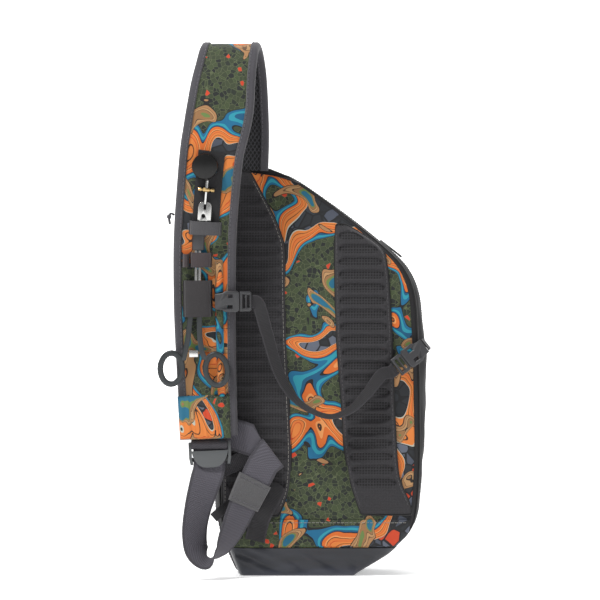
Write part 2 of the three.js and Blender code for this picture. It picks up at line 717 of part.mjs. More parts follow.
// Flat pieces on the strap's outer face

function limbSlab(top, bottom, left, right, low, high, count) {
  return sweep(limbFrames(top, bottom, count), () => [
    [left, low], [right, low], [right, high], [left, high],
  ]);
}

// A band that arches over the strap's face and is sewn down at both edges.
function limbArch(top, bottom, left, right, height, thick, count, foot) {
  const low = faceLift + GAP;
  const ease = Math.min(height * 0.5, (right - left) / 4);
  const lean = ease * 0.14;
  const shoulder = low + height * 0.76;
  return sweep(limbFrames(top, bottom, count), () => [
    [left, low], [left, low + thick], [left + foot, low + thick], [left + foot + lean, shoulder],
    [left + foot + ease, low + height], [right - foot - ease, low + height],
    [right - foot - lean, shoulder], [right - foot, low + thick], [right, low + thick],
    [right, low], [right - foot - thick, low], [right - foot - lean - thick, shoulder - thick * 0.4],
    [right - foot - ease, low + height - thick], [left + foot + ease, low + height - thick],
    [left + foot + lean + thick, shoulder - thick * 0.4], [left + foot + thick, low],
  ]);
}

const dockLift = faceLift + GAP + DOCK_THICK;
const toolLift = dockLift + GAP;

function buildDock() {
  addPart('tool_dock_panel', limbSlab(DOCK_TOP, DOCK_BOTTOM, -DOCK_WIDTH / 2, DOCK_WIDTH / 2,
    faceLift + GAP, dockLift, 6), 'gusset');
  const half = DOCK_WIDTH / 2 + KEEPER_FOOT + ELASTIC_THICK + 2 * GAP;
  addPart('dock_keeper_band', limbArch(KEEPER_TOP, KEEPER_BOTTOM, -half, half,
    TIP_COVER_DEPTH + 4.5, ELASTIC_THICK, 3, KEEPER_FOOT), 'elastic');
  addPart('elastic_loop_left', limbArch(ELASTIC_TOP - 2, ELASTIC_BOTTOM, LOOP_SEAM - 0.25 - LOOP_LEFT_WIDTH,
    LOOP_SEAM - 0.25, FORCEPS_LIFT - 3, ELASTIC_THICK, 3, 1), 'elastic');
  addPart('elastic_loop_right', limbArch(ELASTIC_TOP, ELASTIC_BOTTOM, LOOP_SEAM + 0.25,
    LOOP_SEAM + 0.25 + LOOP_RIGHT_WIDTH, FORCEPS_LIFT, ELASTIC_THICK, 3, 1.2), 'elastic');
  addPart('tool_sleeve', limbArch(TOOL_SLEEVE_TOP, TOOL_SLEEVE_BOTTOM,
    TOOL_SLEEVE_OFFSET - TOOL_SLEEVE_WIDTH / 2, TOOL_SLEEVE_OFFSET + TOOL_SLEEVE_WIDTH / 2,
    FORCEPS_LIFT + 1.5, TOOL_SLEEVE_THICK, 4, 2), 'pad');
  const low = faceLift + GAP;
  addPart('slider_rail', sweep(limbFrames(RAIL_TOP, RAIL_BOTTOM, 9), () => [-1, -0.8, -0.3, 0.3, 0.8, 1]
    .map((share) => [RAIL_OFFSET + share * RAIL_WIDTH / 2,
      low + RAIL_HEIGHT * Math.sqrt(Math.max(0, 1 - share * share))])), 'print');
}

function buildStrapEnd() {
  const end = limbFrame(0);
  const low = faceLift + GAP;
  const bottom = end.place.z - 3;
  const frames = limbFrames(TAB_TOP, bottom + 3, 5);
  const last = { ...end, place: end.place.clone().addScaledVector(end.along, 3) };
  frames.push(last);
  addPart('strap_end_tab', sweep(frames, (frame, i) => {
    const puff = TAB_THICK * [0.55, 0.9, 1, 1.05, 1, 0.5][i];
    const half = end.half - BINDING_WIDTH - 0.6;
    return [[-half, low], [half, low], [half, low + puff * 0.6], [half * 0.86, low + puff],
      [-half * 0.86, low + puff], [-half, low + puff * 0.6]];
  }), 'print');
}

function buildStrapZipPull(bindingLeft) {
  const frame = limbFrame(431);
  const start = onLimb(431, -frame.half - GAP, 0);
  const drop = [[0, 0, 0], [-3, -1, 2], [-5.5, -1.5, 0], [-5.8, -1.5, -5], [-4.8, -1.5, -11]];
  const route = new THREE.CatmullRomCurve3(drop.map(([x, y, z]) => start.clone()
    .add(new THREE.Vector3(x - 1.4, y, z))));
  const cord = new THREE.Shape(circlePoints(1.5, 6));
  const geometry = new THREE.ExtrudeGeometry(cord, { steps: 8, extrudePath: route, bevelEnabled: false });
  const knot = turned([[0, -3], [2.6, -1.8], [3, 0], [2.6, 1.8], [0, 3]], 8,
    route.getPoint(0.62), new THREE.Vector3(0, 0, 1));
  const pull = seated(solidOf(geometry).add(solidOf(knot)), bindingLeft, [1, 0, 0]);
  addPart('strap_zip_pull', geometryOf(pull), 'binding');
}

function circlePoints(radius, sides) {
  return Array.from({ length: sides }, (_, i) => new THREE.Vector2(
    radius * Math.cos(2 * Math.PI * i / sides), radius * Math.sin(2 * Math.PI * i / sides)));
}

// Tools docked on the strap

function placeOn(frame, place) {
  const along = new THREE.Vector3().crossVectors(frame.out, frame.across).normalize();
  const matrix = new THREE.Matrix4().makeBasis(frame.across, along, frame.out);
  matrix.setPosition(place);
  return matrix;
}

function buildReel() {
  const frame = limbFrame(REEL_HEIGHT);
  const radius = REEL_DIAMETER / 2;
  const place = onLimb(REEL_HEIGHT, REEL_OFFSET, toolLift);
  addPart('retractor_reel', turned([
    [0, 0], [radius - 1.5, 0], [radius, 1.5], [radius, REEL_THICK - 3], [radius - 1.2, REEL_THICK - 1],
    [radius - 4, REEL_THICK], [0, REEL_THICK],
  ], 24, place, frame.out), 'black');
}

function buildReelClip() {
  const lift = toolLift + BEAD_RADIUS + 0.1;
  const reelBottom = REEL_HEIGHT - REEL_DIAMETER / 2;
  const frame = limbFrame(reelBottom);
  const down = frame.along;
  const at = (z, u) => onLimb(z, u, lift);
  const pin = solidOf(turned([[0, 0], [1.9, 0], [1.9, 13], [0, 13]], 8,
    at(reelBottom - 1, NIPPER_OFFSET), down));
  const r = BEAD_RADIUS;
  const bead = solidOf(turned([
    [0, -10], [r * 0.7, -9.5], [r * 0.85, -6.5], [r * 0.45, -4.6], [r * 0.9, -3.2], [r, 0], [r * 0.9, 3.2],
    [r * 0.45, 4.6], [r * 0.85, 6.5], [r * 0.7, 9.5], [0, 10],
  ], 8, at(reelBottom - 12, NIPPER_OFFSET), frame.across));
  const link = solidOf(turned([[0, 0], [1.2, 0], [1.2, 15], [0, 15]], 6,
    at(reelBottom - 14, NIPPER_OFFSET), down));
  addPart('reel_clip', geometryOf(pin.add(bead).add(link)), 'brass');
}

function buildNippers() {
  const frame = limbFrame(NIPPER_TOP - NIPPER_LENGTH / 2);
  const half = NIPPER_WIDTH / 2;
  const length = NIPPER_LENGTH;
  const shape = new THREE.Shape();
  shape.moveTo(-half, -length);
  shape.lineTo(half, -length);
  shape.lineTo(half, -7);
  shape.quadraticCurveTo(half, 0, half * 0.4, 0);
  shape.lineTo(half * 0.2, 0);
  shape.lineTo(half * 0.2, -9);
  shape.lineTo(-half * 0.2, -9);
  shape.lineTo(-half * 0.2, 0);
  shape.lineTo(-half * 0.4, 0);
  shape.quadraticCurveTo(-half, 0, -half, -7);
  const hole = new THREE.Path();
  hole.absellipse(-1.2, -16.5, NIPPER_HOLE / 2, NIPPER_HOLE / 2, 0, 2 * Math.PI, true);
  shape.holes.push(hole);
  const geometry = new THREE.ExtrudeGeometry(shape, {
    depth: NIPPER_THICK, curveSegments: 5, bevelEnabled: false,
  });
  const slit = new THREE.BoxGeometry(NIPPER_WIDTH * 2, length - 6, 0.8);
  slit.translate(0, -(length - 6) / 2 + 1, NIPPER_THICK / 2);
  const solid = solidOf(geometry).subtract(solidOf(slit));
  const placed = geometryOf(solid);
  placed.applyMatrix4(placeOn(frame, onLimb(NIPPER_TOP, NIPPER_OFFSET, toolLift)));
  addPart('nippers', placed, 'steel');
}

const forcepsV = faceLift + FORCEPS_LIFT - SHANK_THICK / 2 - ELASTIC_THICK - GAP;

// One half of the forceps: jaw, shank and finger ring as one forging.
function forcepsHalf(name, rows, ring, tilt) {
  const frames = rows.map(([z, u, width]) => {
    const frame = limbFrame(z);
    return { place: onLimb(z, u, forcepsV), across: frame.across, out: frame.out, width };
  });
  const bar = solidOf(sweep(frames, (frame) => {
    const w = frame.width / 2;
    const t = SHANK_THICK / 2;
    return [[-w, -t * 0.6], [-w * 0.6, -t], [w * 0.6, -t], [w, -t * 0.6], [w, t * 0.6], [w * 0.6, t],
      [-w * 0.6, t], [-w, t * 0.6]];
  }));
  const shape = new THREE.Shape();
  shape.absellipse(0, 0, RING_WIDTH / 2, RING_HEIGHT / 2, 0, 2 * Math.PI, false);
  const hole = new THREE.Path();
  hole.absellipse(0, 0, RING_WIDTH / 2 - RING_WIRE, RING_HEIGHT / 2 - RING_WIRE, 0, 2 * Math.PI, true);
  shape.holes.push(hole);
  const bevel = SHANK_THICK * 0.3;
  const loop = new THREE.ExtrudeGeometry(shape, {
    depth: SHANK_THICK - 2 * bevel, curveSegments: 12, bevelThickness: bevel, bevelSize: bevel,
    bevelOffset: -bevel, bevelSegments: 1,
  });
  loop.translate(0, 0, -SHANK_THICK / 2 + bevel);
  loop.rotateZ(tilt);
  const frame = limbFrame(ring.z);
  loop.applyMatrix4(placeOn(frame, onLimb(ring.z, ring.u, forcepsV)));
  addPart(name, geometryOf(bar.add(solidOf(loop))), 'coated');
}

function buildForceps() {
  const top = ELASTIC_TOP + 2.5;
  const jaw = JAW_OFFSET;
  forcepsHalf('forceps_left_half', [
    [top, jaw, JAW_WIDTH], [TOOL_SLEEVE_TOP - 6, jaw, JAW_WIDTH], [338, jaw - 1.2, SHANK_WIDTH - 1],
    [TOOL_SLEEVE_BOTTOM - 2, -17.4, SHANK_WIDTH], [290, -20, SHANK_WIDTH], [272, -24, SHANK_WIDTH],
    [262, -26.5, SHANK_WIDTH],
  ], { z: 252.8, u: -41.3 }, -0.06);
  forcepsHalf('forceps_right_half', [
    [top, jaw + JAW_WIDTH + 0.8, JAW_WIDTH], [TOOL_SLEEVE_TOP - 6, jaw + JAW_WIDTH + 0.8, JAW_WIDTH],
    [338, jaw + 5.8, SHANK_WIDTH - 1], [TOOL_SLEEVE_BOTTOM - 2, -6.4, SHANK_WIDTH], [290, -6.4, SHANK_WIDTH],
    [272, -4.6, SHANK_WIDTH], [262, -0.8, SHANK_WIDTH],
  ], { z: 249.6, u: 12.4 }, 0.1);
  const frames = [273.5, 265.5].map((z) => ({ ...limbFrame(z), place: onLimb(z, 0, forcepsV) }));
  addPart('forceps_ratchet', sweep(frames, () => [
    [-19.6, -1.2], [-8.8, -1.2], [-8.8, 1.2], [-19.6, 1.2],
  ]), 'steel');
  const cover = limbFrames(DOCK_BOTTOM - GAP, top + GAP, 4);
  const low = faceLift + GAP;
  addPart('forceps_tip_cover', sweep(cover, () => Array.from({ length: 10 }, (_, i) => [
    TIP_COVER_OFFSET + Math.cos(2 * Math.PI * i / 10) * TIP_COVER_WIDTH / 2,
    low + TIP_COVER_DEPTH / 2 + Math.sin(2 * Math.PI * i / 10) * TIP_COVER_DEPTH / 2,
  ])), 'coated');
}

// Webbing

function ribbonFrames(places, widths, steps) {
  const path = new THREE.CatmullRomCurve3(places, false, 'centripetal');
  const turn = new THREE.CatmullRomCurve3(widths, false, 'centripetal');
  return Array.from({ length: steps + 1 }, (_, i) => {
    const share = i / steps;
    const along = path.getTangent(share);
    const across = turn.getPoint(share);
    across.addScaledVector(along, -across.dot(along)).normalize();
    const out = new THREE.Vector3().crossVectors(along, across).normalize();
    return { place: path.getPoint(share), along, across, out };
  });
}

function ribbon(frames, width, thick) {
  return sweep(frames, () => [
    [-width / 2, -thick / 2], [width / 2, -thick / 2], [width / 2, thick / 2], [-width / 2, thick / 2],
  ]);
}

function loopPlace({ across, down, back }) {
  const end = limbFrame(0).place;
  return new THREE.Vector3(
    end.x + across * WEB_LOOP_SPAN,
    end.y + back * WEB_LOOP_DEPTH,
    end.z - down * WEB_LOOP_DROP);
}

// Frames that lead the webbing over a crease that slants across it.
function foldFrames() {
  const crease = new THREE.Vector3(0.6, 0, -0.8);
  const outside = new THREE.Vector3(0.8, 0, 0.6);
  const place = loopPlace(LOOP_FOLD);
  const turn = LOOP_FOLD.turn;
  const steps = [
    { back: 0, past: 0, out: new THREE.Vector3(0, 1, 0) },
    { back: turn * 0.3, past: turn * 0.7, out: new THREE.Vector3(-0.56, 0.71, -0.42) },
    { back: turn, past: turn, out: new THREE.Vector3(-0.8, 0, -0.6) },
    { back: turn * 1.7, past: turn * 0.7, out: new THREE.Vector3(-0.56, -0.71, -0.42) },
    { back: turn * 2, past: 0, out: new THREE.Vector3(0, -1, 0) },
  ];
  return steps.map(({ back, past, out }) => ({
    place: place.clone().addScaledVector(outside, past).add(new THREE.Vector3(0, back, 0)),
    across: crease.clone().multiplyScalar(LOOP_FOLD.skew),
    out,
  }));
}

function buildMainWebbing() {
  const places = WEB_LOOP.map(loopPlace);
  const widths = WEB_LOOP.map((row) => new THREE.Vector3(row.wx, row.wy, row.wz));
  const sideX = -0.9 * BODY_LEFT - GAP - WEB_THICK;
  const tail = LOOP_TAIL.map(loopPlace);
  const anchorZ = tail[tail.length - 1].z;
  const seamY = backAt(anchorZ);
  tail.push(
    new THREE.Vector3(sideX - 1.5, seamY - 8, anchorZ),
    new THREE.Vector3(sideX, seamY + 8, anchorZ),
    new THREE.Vector3(sideX, seamY + 24, anchorZ));
  const tailWidths = tail.map(() => new THREE.Vector3(0, 0, -1));
  addPart('main_webbing', ribbon([
    ...ribbonFrames(places, widths, 34),
    ...foldFrames(),
    ...ribbonFrames(tail, tailWidths, 10),
  ], WEB_WIDTH, WEB_THICK), 'webbing');
  const rows = places.length - 1;
  const curve = ribbonFrames(places, widths, rows * 20);
  const keeper = [0, 0.25, 0.5, 0.75, 1].map((share) => curve[Math.round(20 * (
    KEEPER_FROM_ROW + (KEEPER_TO_ROW - KEEPER_FROM_ROW) * share))]);
  const outer = solidOf(ribbon(keeper, WEB_WIDTH + KEEPER_MARGIN, WEB_THICK + KEEPER_BULK));
  const shifted = (frame, step) => ({
    ...frame, place: frame.place.clone().addScaledVector(frame.along, step),
  });
  const longer = [shifted(keeper[0], -4), ...keeper, shifted(keeper[4], 4)];
  const inner = solidOf(ribbon(longer, WEB_WIDTH + 2 * GAP + 0.8, WEB_THICK + 2 * GAP + 1));
  addPart('webbing_keeper', geometryOf(largest(outer.subtract(inner))), 'elastic');
}

const padFront = (z) => backAt(z) - PAD_THICK;

function buildBackWebbing(leftPad) {
  const lowZ = BASE_SEAM_HEIGHT + 8;
  const lift = GAP + SIDE_WEB_THICK;
  const carrier = leftPad.add(skin);
  const laid = (name, places, width, toSide, steps, colour) => {
    const widths = places.map(() => toSide);
    const strip = solidOf(ribbon(ribbonFrames(places, widths, steps), width, SIDE_WEB_THICK));
    addPart(name, geometryOf(seated(strip, carrier, [0, 1, 0])), colour);
  };
  const anchor = [
    [-0.47, lowZ, backAt(lowZ) - BACK_CROWN - lift],
    [-0.42, 0.13 * BODY_HEIGHT, backAt(0.13 * BODY_HEIGHT) - BACK_CROWN - lift],
    [-0.36, 0.165 * BODY_HEIGHT, padFront(80) - lift - 2],
    [-0.27, 0.2 * BODY_HEIGHT, padFront(98) - lift - 2],
    [-0.2, 0.232 * BODY_HEIGHT, padFront(114) - lift - 1],
  ].map(([share, z, y]) => new THREE.Vector3(share * BODY_LEFT, y, z));
  laid('anchor_webbing', anchor, ANCHOR_WEB_WIDTH, new THREE.Vector3(0.9, 0, -0.4), 8, 'webbing');
  const elastic = [[-0.86, 128], [-0.7, 136], [-0.5, 147]].map(([share, z]) => new THREE.Vector3(
    share * BODY_LEFT, padFront(z) + (share > -0.8 ? 0 : 2) - lift, z));
  laid('side_elastic', elastic, ELASTIC_BAND_WIDTH, new THREE.Vector3(0.4, 0, -0.9), 5, 'elastic');
  const strip = [[-0.93, 70], [-0.84, 79], [-0.72, 90]].map(([share, z]) => new THREE.Vector3(
    share * BODY_LEFT, padFront(z) + (share < -0.9 ? 8 : 0) - lift, z));
  laid('side_strap', strip, SIDE_STRIP_WIDTH, new THREE.Vector3(0.6, 0, -0.8), 5, 'webbing');
}

// Buckles

function buildLadderLock() {
  const end = limbFrame(0);
  const rollR = ROLL_DIAMETER / 2;
  const place = end.place.clone().addScaledVector(end.along, 3 + GAP + rollR);
  place.addScaledVector(end.out, 2);
  const left = place.clone().addScaledVector(end.across, -LOCK_WIDTH / 2 + 4);
  const rollLength = LOCK_WIDTH - 8;
  const inner = rollR - ROLL_WALL;
  addPart('webbing_roll', turned([
    [inner, 0], [rollR, 0], [rollR, rollLength], [inner, rollLength], [inner, 0],
  ], 12, left, end.across), 'webbing');
  const at = (u, down, v) => place.clone().addScaledVector(end.across, u)
    .addScaledVector(end.along, down).addScaledVector(end.out, v);
  const half = LOCK_WIDTH / 2;
  const bar = solidOf(turned([
    [0, 0], [LOCK_BAR / 2, 0], [LOCK_BAR / 2, LOCK_WIDTH - 2], [0, LOCK_WIDTH - 2],
  ], 8, at(1 - half, 0, 0), end.across));
  const cheekFrames = (u) => [-3, 4, 16, 24].map((down, i) => ({
    place: at(u * (i === 3 ? 0.94 : 1), down, -1),
    across: end.across,
    out: end.out,
  }));
  const cheek = (u) => solidOf(sweep(cheekFrames(u), (frame, i) => {
    const deep = [2.5, 4, 4, 2.6][i];
    return [[-1.6, -deep], [1.6, -deep], [1.6, deep], [-1.6, deep]];
  }));
  const low = rollR + 1.2;
  const tongueShape = new THREE.Shape();
  tongueShape.moveTo(-half + 3, 0);
  tongueShape.lineTo(half - 3, 0);
  tongueShape.quadraticCurveTo(half - 7, -TONGUE_HEIGHT, 4, -TONGUE_HEIGHT);
  tongueShape.lineTo(-4, -TONGUE_HEIGHT);
  tongueShape.quadraticCurveTo(7 - half, -TONGUE_HEIGHT, 3 - half, 0);
  const tongue = new THREE.ExtrudeGeometry(tongueShape, {
    depth: TONGUE_THICK, curveSegments: 6, bevelEnabled: false,
  });
  tongue.applyMatrix4(placeOn(end, at(0, low, 1.5)));
  const back = new THREE.BoxGeometry(LOCK_WIDTH - 2, 5, 3);
  back.applyMatrix4(placeOn(end, at(0, low + 11, -6)));
  const solid = bar.add(cheek(half - 1.6)).add(cheek(1.6 - half)).add(solidOf(tongue)).add(solidOf(back));
  addPart('ladder_lock', geometryOf(solid), 'plastic');
}

// A side-release buckle's shapes in its own plane: length along +X, width along Y

function buckleGeometry(outlinePoints, slots, thick) {
  const shape = new THREE.Shape(outlinePoints.map(([x, y]) => new THREE.Vector2(x, y)));
  for (const [x0, x1, y0, y1] of slots) {
    const slot = new THREE.Path();
    slot.moveTo(x0, y0);
    slot.lineTo(x0, y1);
    slot.lineTo(x1, y1);
    slot.lineTo(x1, y0);
    shape.holes.push(slot);
  }
  const bevel = BUCKLE_BEVEL;
  const geometry = new THREE.ExtrudeGeometry(shape, {
    depth: thick - 2 * bevel, bevelThickness: bevel, bevelSize: bevel, bevelOffset: -bevel, bevelSegments: 1,
  });
  geometry.translate(0, 0, -thick / 2 + bevel);
  return geometry;
}

function buckleFemale() {
  const w = BUCKLE_WIDTH / 2;
  const l = BUCKLE_LENGTH;
  return buckleGeometry([
    [0, -w * 0.72], [l * 0.3, -w * 0.8], [l * 0.42, -w], [l * 0.9, -w], [l, -w * 0.8],
    [l, w * 0.8], [l * 0.9, w], [l * 0.42, w], [l * 0.3, w * 0.8], [0, w * 0.72],
  ], [[l * 0.5, l * 0.72, w * 0.35, w * 0.68], [l * 0.5, l * 0.72, -w * 0.68, -w * 0.35]], BUCKLE_THICK);
}

function adjusterPart() {
  const w = BUCKLE_WIDTH / 2 - 0.6;
  const l = ADJUSTER_LENGTH;
  return buckleGeometry([
    [0, -w], [l * 0.85, -w], [l, -w * 0.85], [l, w * 0.85], [l * 0.85, w], [0, w],
  ], [[l * 0.24, l * 0.46, -w * 0.7, w * 0.7], [l * 0.62, l * 0.84, -w * 0.64, w * 0.64]], BUCKLE_THICK - 2);
}

function inPlane(geometry, origin, along, out) {
  const side = new THREE.Vector3().crossVectors(out, along).normalize();
  geometry.applyMatrix4(new THREE.Matrix4().makeBasis(along, side, out).setPosition(origin));
  return geometry;
}

function railBuckle() {
  const frame = limbFrame(RAIL_BUCKLE_HEIGHT);
  const lift = faceLift + GAP + RAIL_HEIGHT + GAP + BUCKLE_THICK / 2;
  const origin = onLimb(RAIL_BUCKLE_HEIGHT, RAIL_OFFSET - RAIL_WIDTH / 2, lift);
  return { origin, along: frame.across, out: frame.out };
}

function sideBuckle() {
  const along = new THREE.Vector3(Math.cos(SIDE_BUCKLE_TURN), 0.14, Math.sin(SIDE_BUCKLE_TURN)).normalize();
  const out = new THREE.Vector3(0, -1, 0).addScaledVector(along, along.y).normalize();
  const y = padFront(SIDE_BUCKLE_HEIGHT) - GAP - BUCKLE_THICK / 2;
  const origin = new THREE.Vector3(0.755 * BODY_RIGHT, y + 1, SIDE_BUCKLE_HEIGHT - 6);
  return { origin, along, out };
}

function buildBuckles() {
  const rail = railBuckle();
  addPart('rail_buckle', inPlane(buckleFemale(), rail.origin, rail.along, rail.out), 'plastic');
  const railEnd = rail.origin.clone().addScaledVector(rail.along, BUCKLE_LENGTH + GAP);
  addPart('rail_adjuster', inPlane(adjusterPart(), railEnd, rail.along, rail.out), 'plastic');
  const side = sideBuckle();
  addPart('side_adjuster', inPlane(adjusterPart(), side.origin, side.along, side.out), 'plastic');
  const sideStart = side.origin.clone().addScaledVector(side.along, ADJUSTER_LENGTH + GAP);
  const female = buckleFemale();
  female.rotateZ(Math.PI);
  female.translate(BUCKLE_LENGTH, 0, 0);
  addPart('side_buckle', inPlane(female, sideStart, side.along, side.out), 'plastic');
  const loopStart = sideStart.clone().addScaledVector(side.along, BUCKLE_LENGTH + 4 * GAP);
  const places = [0, 4, 9].map((step, i) => loopStart.clone().addScaledVector(side.along, step * 0.35)
    .add(new THREE.Vector3(0, step * 1.6, 0)));
  const widths = places.map(() => new THREE.Vector3(-side.along.z, 0, side.along.x));
  addPart('side_anchor_loop', ribbon(
    ribbonFrames(places, widths, 4), SIDE_WEB_WIDTH, SIDE_WEB_THICK), 'webbing');
}

// The stabiliser webbing hangs between the two adjusters. "share" runs along
// the span, "sag" is a share of SIDE_WEB_SAG below the line, "out" of PAD_THICK.
const STABILISER = [
  { share: 0, sag: 0, out: 0, wx: 0, wy: 0, wz: 1 },
  { share: 0.035, sag: -0.03, out: 0, wx: 0, wy: 0, wz: 1 },
  { share: 0.1, sag: 0.42, out: 0.4, wx: 0.85, wy: 0.35, wz: 0.35 },
  { share: 0.19, sag: 1.1, out: 0.4, wx: 0.8, wy: 0.6, wz: 0.2 },
  { share: 0.29, sag: 1.42, out: 0.1, wx: 0.4, wy: 0.9, wz: 0.35 },
  { share: 0.42, sag: 1.52, out: -0.1, wx: 0.15, wy: 0.95, wz: 0.3 },
  { share: 0.55, sag: 1.46, out: -0.1, wx: 0.05, wy: 0.95, wz: 0.3 },
  { share: 0.68, sag: 1.18, out: 0, wx: -0.2, wy: 0.9, wz: 0.5 },
  { share: 0.8, sag: 0.72, out: 0.1, wx: -0.4, wy: 0.6, wz: 0.7 },
  { share: 0.91, sag: 0.22, out: 0.1, wx: -0.5, wy: 0.15, wz: 0.85 },
  { share: 0.965, sag: 0.12, out: 0, wx: -0.6, wy: 0, wz: 0.8 },
  { share: 1, sag: 0, out: 0, wx: -0.6, wy: 0, wz: 0.8 },
];

function buildStabiliser() {
  const rail = railBuckle();
  const side = sideBuckle();
  const start = rail.origin.clone().addScaledVector(rail.along, BUCKLE_LENGTH + ADJUSTER_LENGTH + 5 * GAP);
  const end = side.origin.clone().addScaledVector(side.along, -2 * GAP);
  const places = STABILISER.map((row) => start.clone().lerp(end, row.share)
    .add(new THREE.Vector3(0, -row.out * PAD_THICK, -row.sag * SIDE_WEB_SAG)));
  const widths = STABILISER.map((row) => new THREE.Vector3(row.wx, row.wy, row.wz));
  addPart('stabiliser_webbing', ribbon(
    ribbonFrames(places, widths, 36), SIDE_WEB_WIDTH, SIDE_WEB_THICK), 'webbing');
}

buildBody();
buildZipSlider();
buildBottlePocket();
const leftPad = buildPad('left_back_pad', LEFT_PAD, LEFT_PAD_STEPS, false);
const rightPadHeight = (RIGHT_PAD[0].up - RIGHT_PAD[RIGHT_PAD.length - 1].up) * BODY_HEIGHT;
buildPad('right_back_pad', RIGHT_PAD, 2 * Math.round(rightPadHeight / RIB_PITCH), true);
buildLowerBand();
const bindingLeft = buildStrap();
buildDock();
buildStrapEnd();
buildStrapZipPull(bindingLeft);
buildReel();
buildReelClip();
buildNippers();
buildForceps();
buildMainWebbing();
buildBackWebbing(leftPad);
buildLadderLock();
buildBuckles();
buildStabiliser();

export default bag;
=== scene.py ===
# %% [markdown]
# # A fishing tackle sling bag, dressed in cloth
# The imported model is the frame: every solid in it already has its real size and
# place. This lesson lays cloth, webbing and stitching over those solids. The hard
# parts keep their shape and only get rounder edges and better finishes.

# %% Load the frame
import math

import bpy
import numpy as np
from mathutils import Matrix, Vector, noise
from mathutils.bvhtree import BVHTree


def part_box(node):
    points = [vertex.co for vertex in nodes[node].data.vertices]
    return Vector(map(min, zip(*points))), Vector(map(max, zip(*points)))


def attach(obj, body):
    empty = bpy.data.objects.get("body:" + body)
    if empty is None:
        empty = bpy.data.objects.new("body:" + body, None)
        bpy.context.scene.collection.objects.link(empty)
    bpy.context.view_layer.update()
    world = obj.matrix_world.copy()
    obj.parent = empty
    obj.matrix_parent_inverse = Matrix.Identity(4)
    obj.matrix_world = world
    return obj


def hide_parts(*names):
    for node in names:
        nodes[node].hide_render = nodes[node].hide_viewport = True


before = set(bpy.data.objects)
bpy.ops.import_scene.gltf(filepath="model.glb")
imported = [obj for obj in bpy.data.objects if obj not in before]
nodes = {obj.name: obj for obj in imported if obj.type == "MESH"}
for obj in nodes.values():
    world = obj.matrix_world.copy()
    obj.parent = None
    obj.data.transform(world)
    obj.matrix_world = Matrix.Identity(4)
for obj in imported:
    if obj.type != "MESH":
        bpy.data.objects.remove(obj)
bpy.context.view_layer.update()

# %% [markdown]
# ## The camera and the studio
# The photograph is taken from the padded back side with a long lens, level with
# the bag. One pixel is 1.2 mm at the pads, so the lens follows from the distance.
# The camera comes first, because everything else is judged through it.

# %% Camera
MM = 0.001
PIXEL = 1.2 * MM
IMAGE = 600
CENTRE_PX = (296.7, 577.0)
PAD_PLANE = -75 * MM
DISTANCE = 3.6
SENSOR = 36.0

view_x = (IMAGE / 2 - CENTRE_PX[0]) * PIXEL
view_z = (CENTRE_PX[1] - IMAGE / 2) * PIXEL
bpy.ops.object.camera_add(location=(view_x, PAD_PLANE - DISTANCE, view_z), rotation=(math.pi / 2, 0, 0))
camera = bpy.context.object
camera.data.sensor_width = SENSOR
camera.data.lens = SENSOR * DISTANCE / (IMAGE * PIXEL)
camera.data.clip_end = 50
bpy.context.scene.camera = camera
print("lens", round(camera.data.lens, 1))

# %% [markdown]
# ## Floor and light
# A product photograph has a white floor and soft lamps. One lamp from high on the
# left gives the pads their relief, a weaker one from the right opens the shadows,
# and one from behind lights the strap's arch. The floor and backdrop glow a little,
# so that they stay white, and a dim sky does the rest.

# %% Floor and lamps
WHITE = (0.97, 0.97, 0.97, 1)
STUDIO_ROUGHNESS = 0.9
SCREENS = [
    # name, material, size, place, tilt, glow
    ("studio_floor", "studio_white", 14, (0, 2, -0.0005), 0.0, 0.38),
    ("studio_backdrop", "backdrop_white", 9, (0, 5, 3), math.pi / 2, 0.8),
]
LAMPS = [
    # place, aimed at, size, watts
    ((-1.4, -1.5, 3.0), (0, 0, 0.3), 0.7, 100),
    ((2.2, -1.4, 1.2), (0, 0, 0.3), 1.2, 10),
    ((0.6, 1.4, 2.4), (0, 0, 0.4), 1.2, 22),
]
SKY = 0.38


def plain_material(name, colour, roughness=0.6, metallic=0.0):
    """A Principled material with one colour all over."""
    material = bpy.data.materials.new(name)
    material.use_nodes = True
    shader = material.node_tree.nodes["Principled BSDF"]
    shader.inputs["Base Color"].default_value = colour
    shader.inputs["Roughness"].default_value = roughness
    shader.inputs["Metallic"].default_value = metallic
    return material


for name, material_name, size, place, tilt, glow in SCREENS:
    bpy.ops.mesh.primitive_plane_add(size=size, location=place, rotation=(tilt, 0, 0))
    screen = bpy.context.object
    screen.name = name
    white = plain_material(material_name, WHITE, STUDIO_ROUGHNESS)
    shader = white.node_tree.nodes["Principled BSDF"]
    shader.inputs["Emission Color"].default_value = (1, 1, 1, 1)
    shader.inputs["Emission Strength"].default_value = glow
    screen.data.materials.append(white)

world = bpy.data.worlds.new("studio_sky")
world.use_nodes = True
world.node_tree.nodes["Background"].inputs["Color"].default_value = (1, 1, 1, 1)
world.node_tree.nodes["Background"].inputs["Strength"].default_value = SKY
bpy.context.scene.world = world
bpy.context.scene.view_settings.view_transform = "Standard"

for place, aim, size, watts in LAMPS:
    bpy.ops.object.light_add(type="AREA", location=place)
    lamp = bpy.context.object
    lamp.data.size = size
    lamp.data.energy = watts
    turn = (Vector(aim) - Vector(place)).to_track_quat("-Z", "Y")
    lamp.rotation_euler = turn.to_euler()
print("screens", len(SCREENS), "lamps", len(LAMPS))

# %% [markdown]
# ## Measuring the solids
# Cloth has to lie on the solids, so it is measured from them. A ray that comes from
# far outside meets the outer face first, and a level cut gives a solid's edges at
# that height. Both are exact, so no size has to be guessed twice.


# %% Rays and level cuts
def triangles_of(names):
    """All the triangles of these nodes, as an array of three corners each."""
    found = []
    for name in names:
        mesh = nodes[name].data
        mesh.calc_loop_triangles()
        places = np.array([nodes[name].matrix_world @ v.co for v in mesh.vertices])
        found.append(places[np.array([t.vertices[:] for t in mesh.loop_triangles])])
    return np.concatenate(found)


